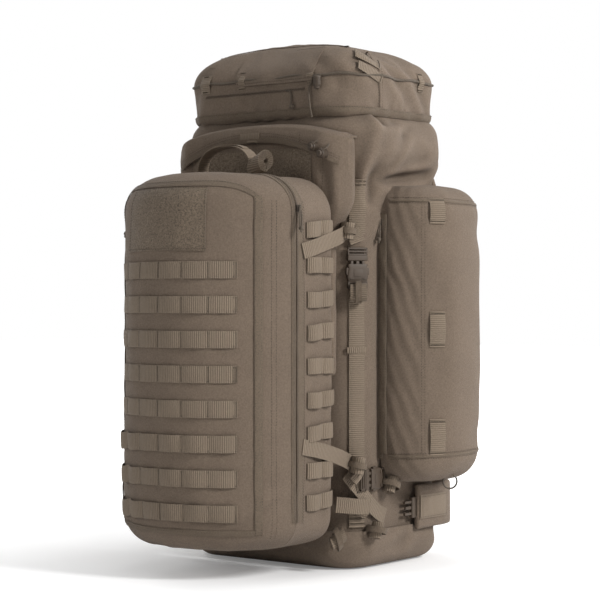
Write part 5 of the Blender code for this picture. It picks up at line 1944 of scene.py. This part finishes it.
# %% Pocket and flap fittings
pocket_tree = search_tree(pocket_skin)
path = between((-0.120, -0.18, 0.617), (0.112, -0.18, 0.617), 44)
pile = lay_band(pocket_tree, path, BACK, UP, 0.064, 0.0016, lines=14)
add_piece("pocket_loop_panel", pile, LOOP_PILE, "bag")
for x in (-0.132, 0.132):
    seam_on(pocket_tree, between((x, -0.18, 0.33), (x, -0.18, 0.655), 60), BACK, "bag")
flap_tree = search_tree(flap_skin)
columns = np.linspace(-0.160, 0.160, 80)
low_edge = [Vector((x, -0.18, flap_lower_edge(x) + 0.0045)) for x in columns]
rim = lay_band(flap_tree, low_edge, BACK, UP, 0.0085, 0.0012, 0.0001)
add_piece("pocket_flap_binding", rim, BINDING, "flap")
seams_beside(flap_tree, low_edge, UP, (0.006, 0.010), BACK, "flap")
for x in (0.096, -0.096):
    foot = flap_lower_edge(x) + 0.004
    seam_on(flap_tree, between((x, -0.18, foot), (x, -0.18, 0.672), 20), BACK, "flap")
patch_path = between((-0.022, -0.18, 0.6700), (0.016, -0.18, 0.6700), 20)
patch = lay_band(flap_tree, patch_path, BACK, UP, 0.0120, 0.0012, 0.0002)
add_piece("flap_patch", patch, TAPE, "flap")
tab_path = between((0.0, -0.18, 0.640), (0.0, -0.18, 0.664), 14)
tab = lay_band(flap_tree, tab_path, BACK, RIGHT, 0.0180, 0.0016, 0.0006)
add_piece("flap_tab", tab, TAPE, "flap")
for z in (0.643, 0.661):
    tack_on(flap_tree, (0.0, -0.18, z), BACK, RIGHT, 0.016, "flap", 0.0034)
for node in ("pocket_cord_lock_left", "pocket_cord_lock_right"):
    _, _, middle = box_of(node)
    loop = smooth_path([middle + Vector(off) for off in (
        (-0.012, 0.0120, 0.0120), (-0.006, 0.004, 0.0080), (-0.0015, -0.001, 0.0062),
        (0.0015, -0.001, 0.0062), (0.005, 0.004, 0.0100), (0.004, 0.0125, 0.0170))], 5)
    add_piece(f"{node}_cord", tube_mesh(f"{node}_cord", loop, 0.0013, 8), CORD_BRAID, "flap")

# %% [markdown]
# ## Handle and daypack top
# The grab handle is webbing folded over itself in the middle so that it is kind to the hand.

# %% Handle
low, high, middle = box_of("carry_handle")
foot = low.z
arch = []
for t in np.linspace(0, pi, 44):
    rise = (high.z - foot) * 0.96 * sin(t) ** 0.75
    arch.append(Vector((-0.054 * signed_power(cos(t), 0.85), middle.y, foot - 0.0005 + rise)))
handle_parts = [free_band(arch, BACK, 0.0245, 0.0026, 6)]
grip = arch[13:31]
handle_parts.append(free_band([p + UP * 0.0022 for p in grip], BACK, 0.0150, 0.0020, 6))
for sign in (-1, 1):
    foot_path = [Vector((sign * x, middle.y, 0.65)) for x in np.linspace(0.050, 0.078, 12)]
    handle_parts.append(lay_band(tray_tree, foot_path, -UP, BACK, 0.0195, 0.0022, 0.0004))
    for x in (0.056, 0.074):
        tack_on(tray_tree, (sign * x, middle.y, 0.65), -UP, BACK, 0.017, "bag", 0.0034)
add_joined("grab_handle", handle_parts, TAPE, "bag", ("carry_handle",))
top_roll = roll_mesh((0.0640, -0.2120, 0.6215), (0.95, -0.25, 0.35), (0, 0.2, 1), turns=5.6,
                     squash=0.85, width=0.030)
add_joined("daypack_top_roll", [top_roll], TAPE, "bag")

# %% [markdown]
# ## Padding
# Each pad starts as a copy of its functional solid. It is remeshed evenly, filled with a little
# pressure by the cloth simulation, and smoothed. Seams and binding come after that.

# %% Padded pieces
def padded_piece(node, finish, body, cap=0.0040, pressure=3.0, voxel=0.0050):
    source = bpy.data.objects[node]
    mesh = source.data.copy()
    mesh.name = f"{node}_soft"
    mesh.materials.clear()
    work = bmesh.new()
    work.from_mesh(mesh)
    bmesh.ops.remove_doubles(work, verts=work.verts, dist=1e-5)
    work.to_mesh(mesh)
    work.free()
    piece = new_object(mesh.name, mesh)
    even = piece.modifiers.new("even", "REMESH")
    even.mode = "VOXEL"
    even.voxel_size = voxel
    settle_modifiers(piece)
    points = points_of(piece.data)
    set_points(piece.data, points - normals_of(piece.data) * 0.0012)
    fill_out(piece, np.zeros(len(points), bool), pressure=pressure, spare=0.0, frames=14, cap=cap)
    low, high = (np.array(c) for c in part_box(node))
    set_points(piece.data, np.clip(points_of(piece.data), low - 0.003, high + 0.003))
    refine(piece, 1)
    map_by_facing(piece.data)
    piece.data.materials.clear()
    piece.data.materials.append(finish)
    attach(piece, body)
    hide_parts(node)
    return piece


pads = {}
for side_name, sign in SIDES:
    pads[f"back_{side_name}"] = padded_piece(f"back_pad_{side_name}", MESH_PAD, "bag", cap=0.003)
    pads[f"strap_{side_name}"] = padded_piece(f"shoulder_strap_{side_name}", CLOTH,
                                              f"harness_{side_name}")
    pads[f"wing_{side_name}"] = padded_piece(f"belt_wing_{side_name}", CLOTH, f"wing_{side_name}",
                                             voxel=0.0045)
pads["lumbar"] = padded_piece("lumbar_pad", MESH_PAD, "bag", cap=0.003)
print("padded pieces:", list(pads))

# %% Harness seams, ladder locks and lower webbing
for side_name, sign in SIDES:
    tree = search_tree(pads[f"strap_{side_name}"])
    spine = [Vector((sign * 0.055, 0.1418, 0.585)) + Vector((sign * x, y, z)) for x, y, z in
             ((0.001, 0.010, 0.032), (0.006, 0.034, 0.054), (0.014, 0.062, 0.040),
              (0.026, 0.076, -0.015), (0.050, 0.074, -0.110), (0.076, 0.068, -0.200),
              (0.094, 0.061, -0.255))]
    line = smooth_path(spine, 12)[3:-3]
    ways = []
    for p, tangent in zip(line, tangents(line)):
        ways.append(-tangent.cross(Vector((sign, 0, 0))).normalized() * sign)
        if ways[-1].y > 0 and p.z < 0.60 or ways[-1].z > 0 and p.z > 0.60:
            ways[-1] = -ways[-1]
    straps = [lay_band(tree, line, ways, RIGHT, 0.0250, 0.0016, 0.0003)]
    body = f"harness_{side_name}"
    seams_beside(tree, line, RIGHT, (-0.0105, 0.0105), ways, body, 0.0022)
    seams_beside(tree, line, RIGHT, (-0.024, 0.024), ways, body, 0.0003)
    add_joined(f"shoulder_strap_webbing_{side_name}", straps, TAPE, body)
    low, high, centre = box_of(f"ladder_lock_{side_name}")
    lock = placed(bar_frame(0.034, high.z - low.z, 0.0036, 0.0058, cross_bars=(-0.001, 0.007)),
                  local_frame(centre, (0, 0, 1), (0, 1, 0)), f"ladder_lock_frame_{side_name}")
    add_piece(f"ladder_lock_frame_{side_name}", lock, BUCKLE, body, (f"ladder_lock_{side_name}",))
    top = centre + Vector((0, 0, -(high.z - low.z) / 2 + 0.004))
    anchor = Vector((sign * 0.098, 0.1370, 0.150))
    run = smooth_path([top, top + Vector((0, 0.002, -0.055)), Vector((sign * 0.146, 0.1870, 0.166)),
                       Vector((sign * 0.122, 0.1510, 0.152)), anchor], 14)
    band = free_band(run, RIGHT, 0.0245, 0.0017, name=f"harness_webbing_{side_name}")
    piece = add_piece(f"harness_webbing_{side_name}", band, TAPE, None)
    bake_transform(piece)
    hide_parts(f"shoulder_webbing_{side_name}")
    tail = smooth_path([top + Vector((sign * x, y, z)) for x, y, z in
                        ((0.001, -0.003, 0), (0.004, -0.007, -0.030), (0.007, -0.008, -0.062))], 10)
    loose = [free_band(tail, RIGHT, 0.0240, 0.0016),
             roll_mesh(top + Vector((sign * 0.008, -0.008, -0.072)), (1, 0, 0), (0, 0, 1), turns=2.6)]
    add_joined(f"harness_tail_{side_name}", loose, TAPE, body)
    tree = search_tree(pads[f"wing_{side_name}"])
    route = between((sign * 0.24, 0.034, 0.0875), (sign * 0.24, 0.108, 0.0875), 30)
    belt = lay_band(tree, route, (-sign, 0, 0), UP, 0.0380, 0.0018, 0.0003, lines=8)
    add_piece(f"belt_webbing_{side_name}", belt, TAPE, f"wing_{side_name}")
    seams_beside(tree, route, UP, (-0.016, 0.016), (-sign, 0, 0), f"wing_{side_name}", 0.0024)
for node, parts, body, along in (("belt_buckle_plug", plug_parts(), "wing_right", (0, -1, 0)),
                                 ("belt_buckle_socket", socket_parts(), "wing_left", (0, -1, 0))):
    low, high, centre = box_of(node)
    sign = 1 if low.x > 0 else -1
    if node == "belt_buckle_plug":
        centre.y = high.y - 0.009
    mesh = placed(parts, local_frame(centre, along, (sign, 0, 0)), f"{node}_shell")
    add_piece(f"{node}_shell", mesh, BUCKLE, body, (node,))

# %% [markdown]
# ## Hidden structure
# The frame sheet and the two aluminium stays stand inside the bag. Their functional shapes are
# right as they are, so they only get a better finish.

# %% Carried-over nodes
for node, finish in (("frame_sheet", SHEET), ("frame_stay_left", ALUMINIUM),
                     ("frame_stay_right", ALUMINIUM)):
    for slot in bpy.data.objects[node].material_slots:
        slot.link = "OBJECT"
        slot.material = finish

# %% [markdown]
# ## Back panel
# The wearer's side has a bound frame round the pads, and a grab loop at the top.

# %% Back panel details
frames = []
for sign in (-1, 1):
    path = between((sign * 0.113, 0.17, 0.17), (sign * 0.113, 0.17, 0.61), 80)
    frames.append(lay_band(bag_tree, path, -BACK, RIGHT, 0.012, 0.0014, 0.0002))
    seam_on(bag_tree, path, -BACK, "bag", 0.0020)
for z in (0.175, 0.600):
    path = between((-0.113, 0.17, z), (0.113, 0.17, z), 50)
    frames.append(lay_band(bag_tree, path, -BACK, UP, 0.012, 0.0014, 0.0002))
    seam_on(bag_tree, path, -BACK, "bag", 0.0020)
loop = smooth_path([(-0.045, 0.1395, 0.640), (-0.032, 0.1480, 0.662), (0, 0.1560, 0.672),
                    (0.032, 0.1480, 0.662), (0.045, 0.1395, 0.640)], 8)
frames.append(free_band(loop, (0, -0.6, 0.8), 0.024, 0.0022))
add_joined("back_panel_webbing", frames, TAPE, "bag")

# %% [markdown]
# ## Thread
# Every seam has been gathered by the body it rides on, so the stitches, the bar tacks and the
# zip coils are made at the end, one piece per body.

# %% All stitches, tacks and coils
for label, lines, sizes, finish in (("stitches", stitch_lines, STITCH, SEAM_SHADE_THREAD),
                                    ("bar_tacks", tack_lines, TACK, SEAM_SHADE_THREAD),
                                    ("zip_coil", coil_lines, COIL, ZIP_COIL)):
    for body, runs in lines.items():
        bead_piece(f"{label}_{body}", body, runs, finish, **sizes)
        print(label, body, len(runs), "lines")

# %% The free cord tail, in place
cord_tail = add_piece("lid_cord_end", tube_mesh("lid_cord_end", tail_path, 0.0015), CORD_BRAID, "lid",
                      ("lid_cord_tail",))

# %% [markdown]
# ## Floor and light
# The floor is white and glows more the further away it is, but only to the camera, so that it
# runs into the background and still takes the soft shadow round the pack's foot.

# %% Floor and light
floor_mesh = bpy.data.meshes.new("floor")
floor_mesh.from_pydata([(-12, -12, 0), (12, -12, 0), (12, 12, 0), (-12, 12, 0)], [], [(0, 1, 2, 3)])
floor = new_object("floor", floor_mesh)
floor_finish, tree, floor_shader = start_material("floor", (0.90, 0.90, 0.90), 0.85)
floor_mesh.materials.append(floor_finish)
floor.location.z = -0.0005
place, away, ray = (tree.nodes.new(kind) for kind in ("ShaderNodeTexCoord", "ShaderNodeVectorMath",
                                                      "ShaderNodeLightPath"))
away.operation = "LENGTH"
tree.links.new(place.outputs["Object"], away.inputs[0])
glow = math_node(tree, "MINIMUM", math_node(tree, "MULTIPLY", away.outputs["Value"], 0.45), 0.95)
glow = math_node(tree, "MULTIPLY", math_node(tree, "ADD", glow, 0.10), ray.outputs["Is Camera Ray"])
floor_shader.inputs["Emission Color"].default_value = (1, 1, 1, 1)
tree.links.new(glow, floor_shader.inputs["Emission Strength"])


def area_light(name, place, aim, size, power):
    data = bpy.data.lights.new(name, "AREA")
    data.shape = "RECTANGLE"
    data.size, data.size_y = size
    data.energy = power
    light = new_object(name, data)
    light.location = place
    light.rotation_mode = "QUATERNION"
    light.rotation_quaternion = (Vector(aim) - Vector(place)).to_track_quat("-Z", "Y")


area_light("key", (3.5, 0.1, 2.2), (0, 0, 0.4), (0.8, 1.0), 128)
area_light("front_fill", (-1.2, -4.0, 2.0), (0, 0, 0.4), (1.4, 1.4), 22)
area_light("left_rim", (-3.4, 1.0, 1.8), (0, 0, 0.4), (1.2, 2.2), 36)
area_light("top", (0.0, 0.6, 3.6), (0, 0, 0.5), (1.6, 1.6), 24)
area_light("back", (1.0, 3.6, 1.8), (0, 0, 0.4), (2.4, 2.0), 60)
world = bpy.data.worlds.new("studio")
world.use_nodes = True
sky = world.node_tree
sky.nodes["Background"].inputs["Color"].default_value = (1, 1, 1, 1)
seen = sky.nodes.new("ShaderNodeLightPath")
strength = math_node(sky, "ADD", math_node(sky, "MULTIPLY", seen.outputs["Is Camera Ray"], 0.66), 0.34)
sky.links.new(strength, sky.nodes["Background"].inputs["Strength"])
bpy.context.scene.world = world
bpy.context.scene.view_settings.view_transform = "Standard"
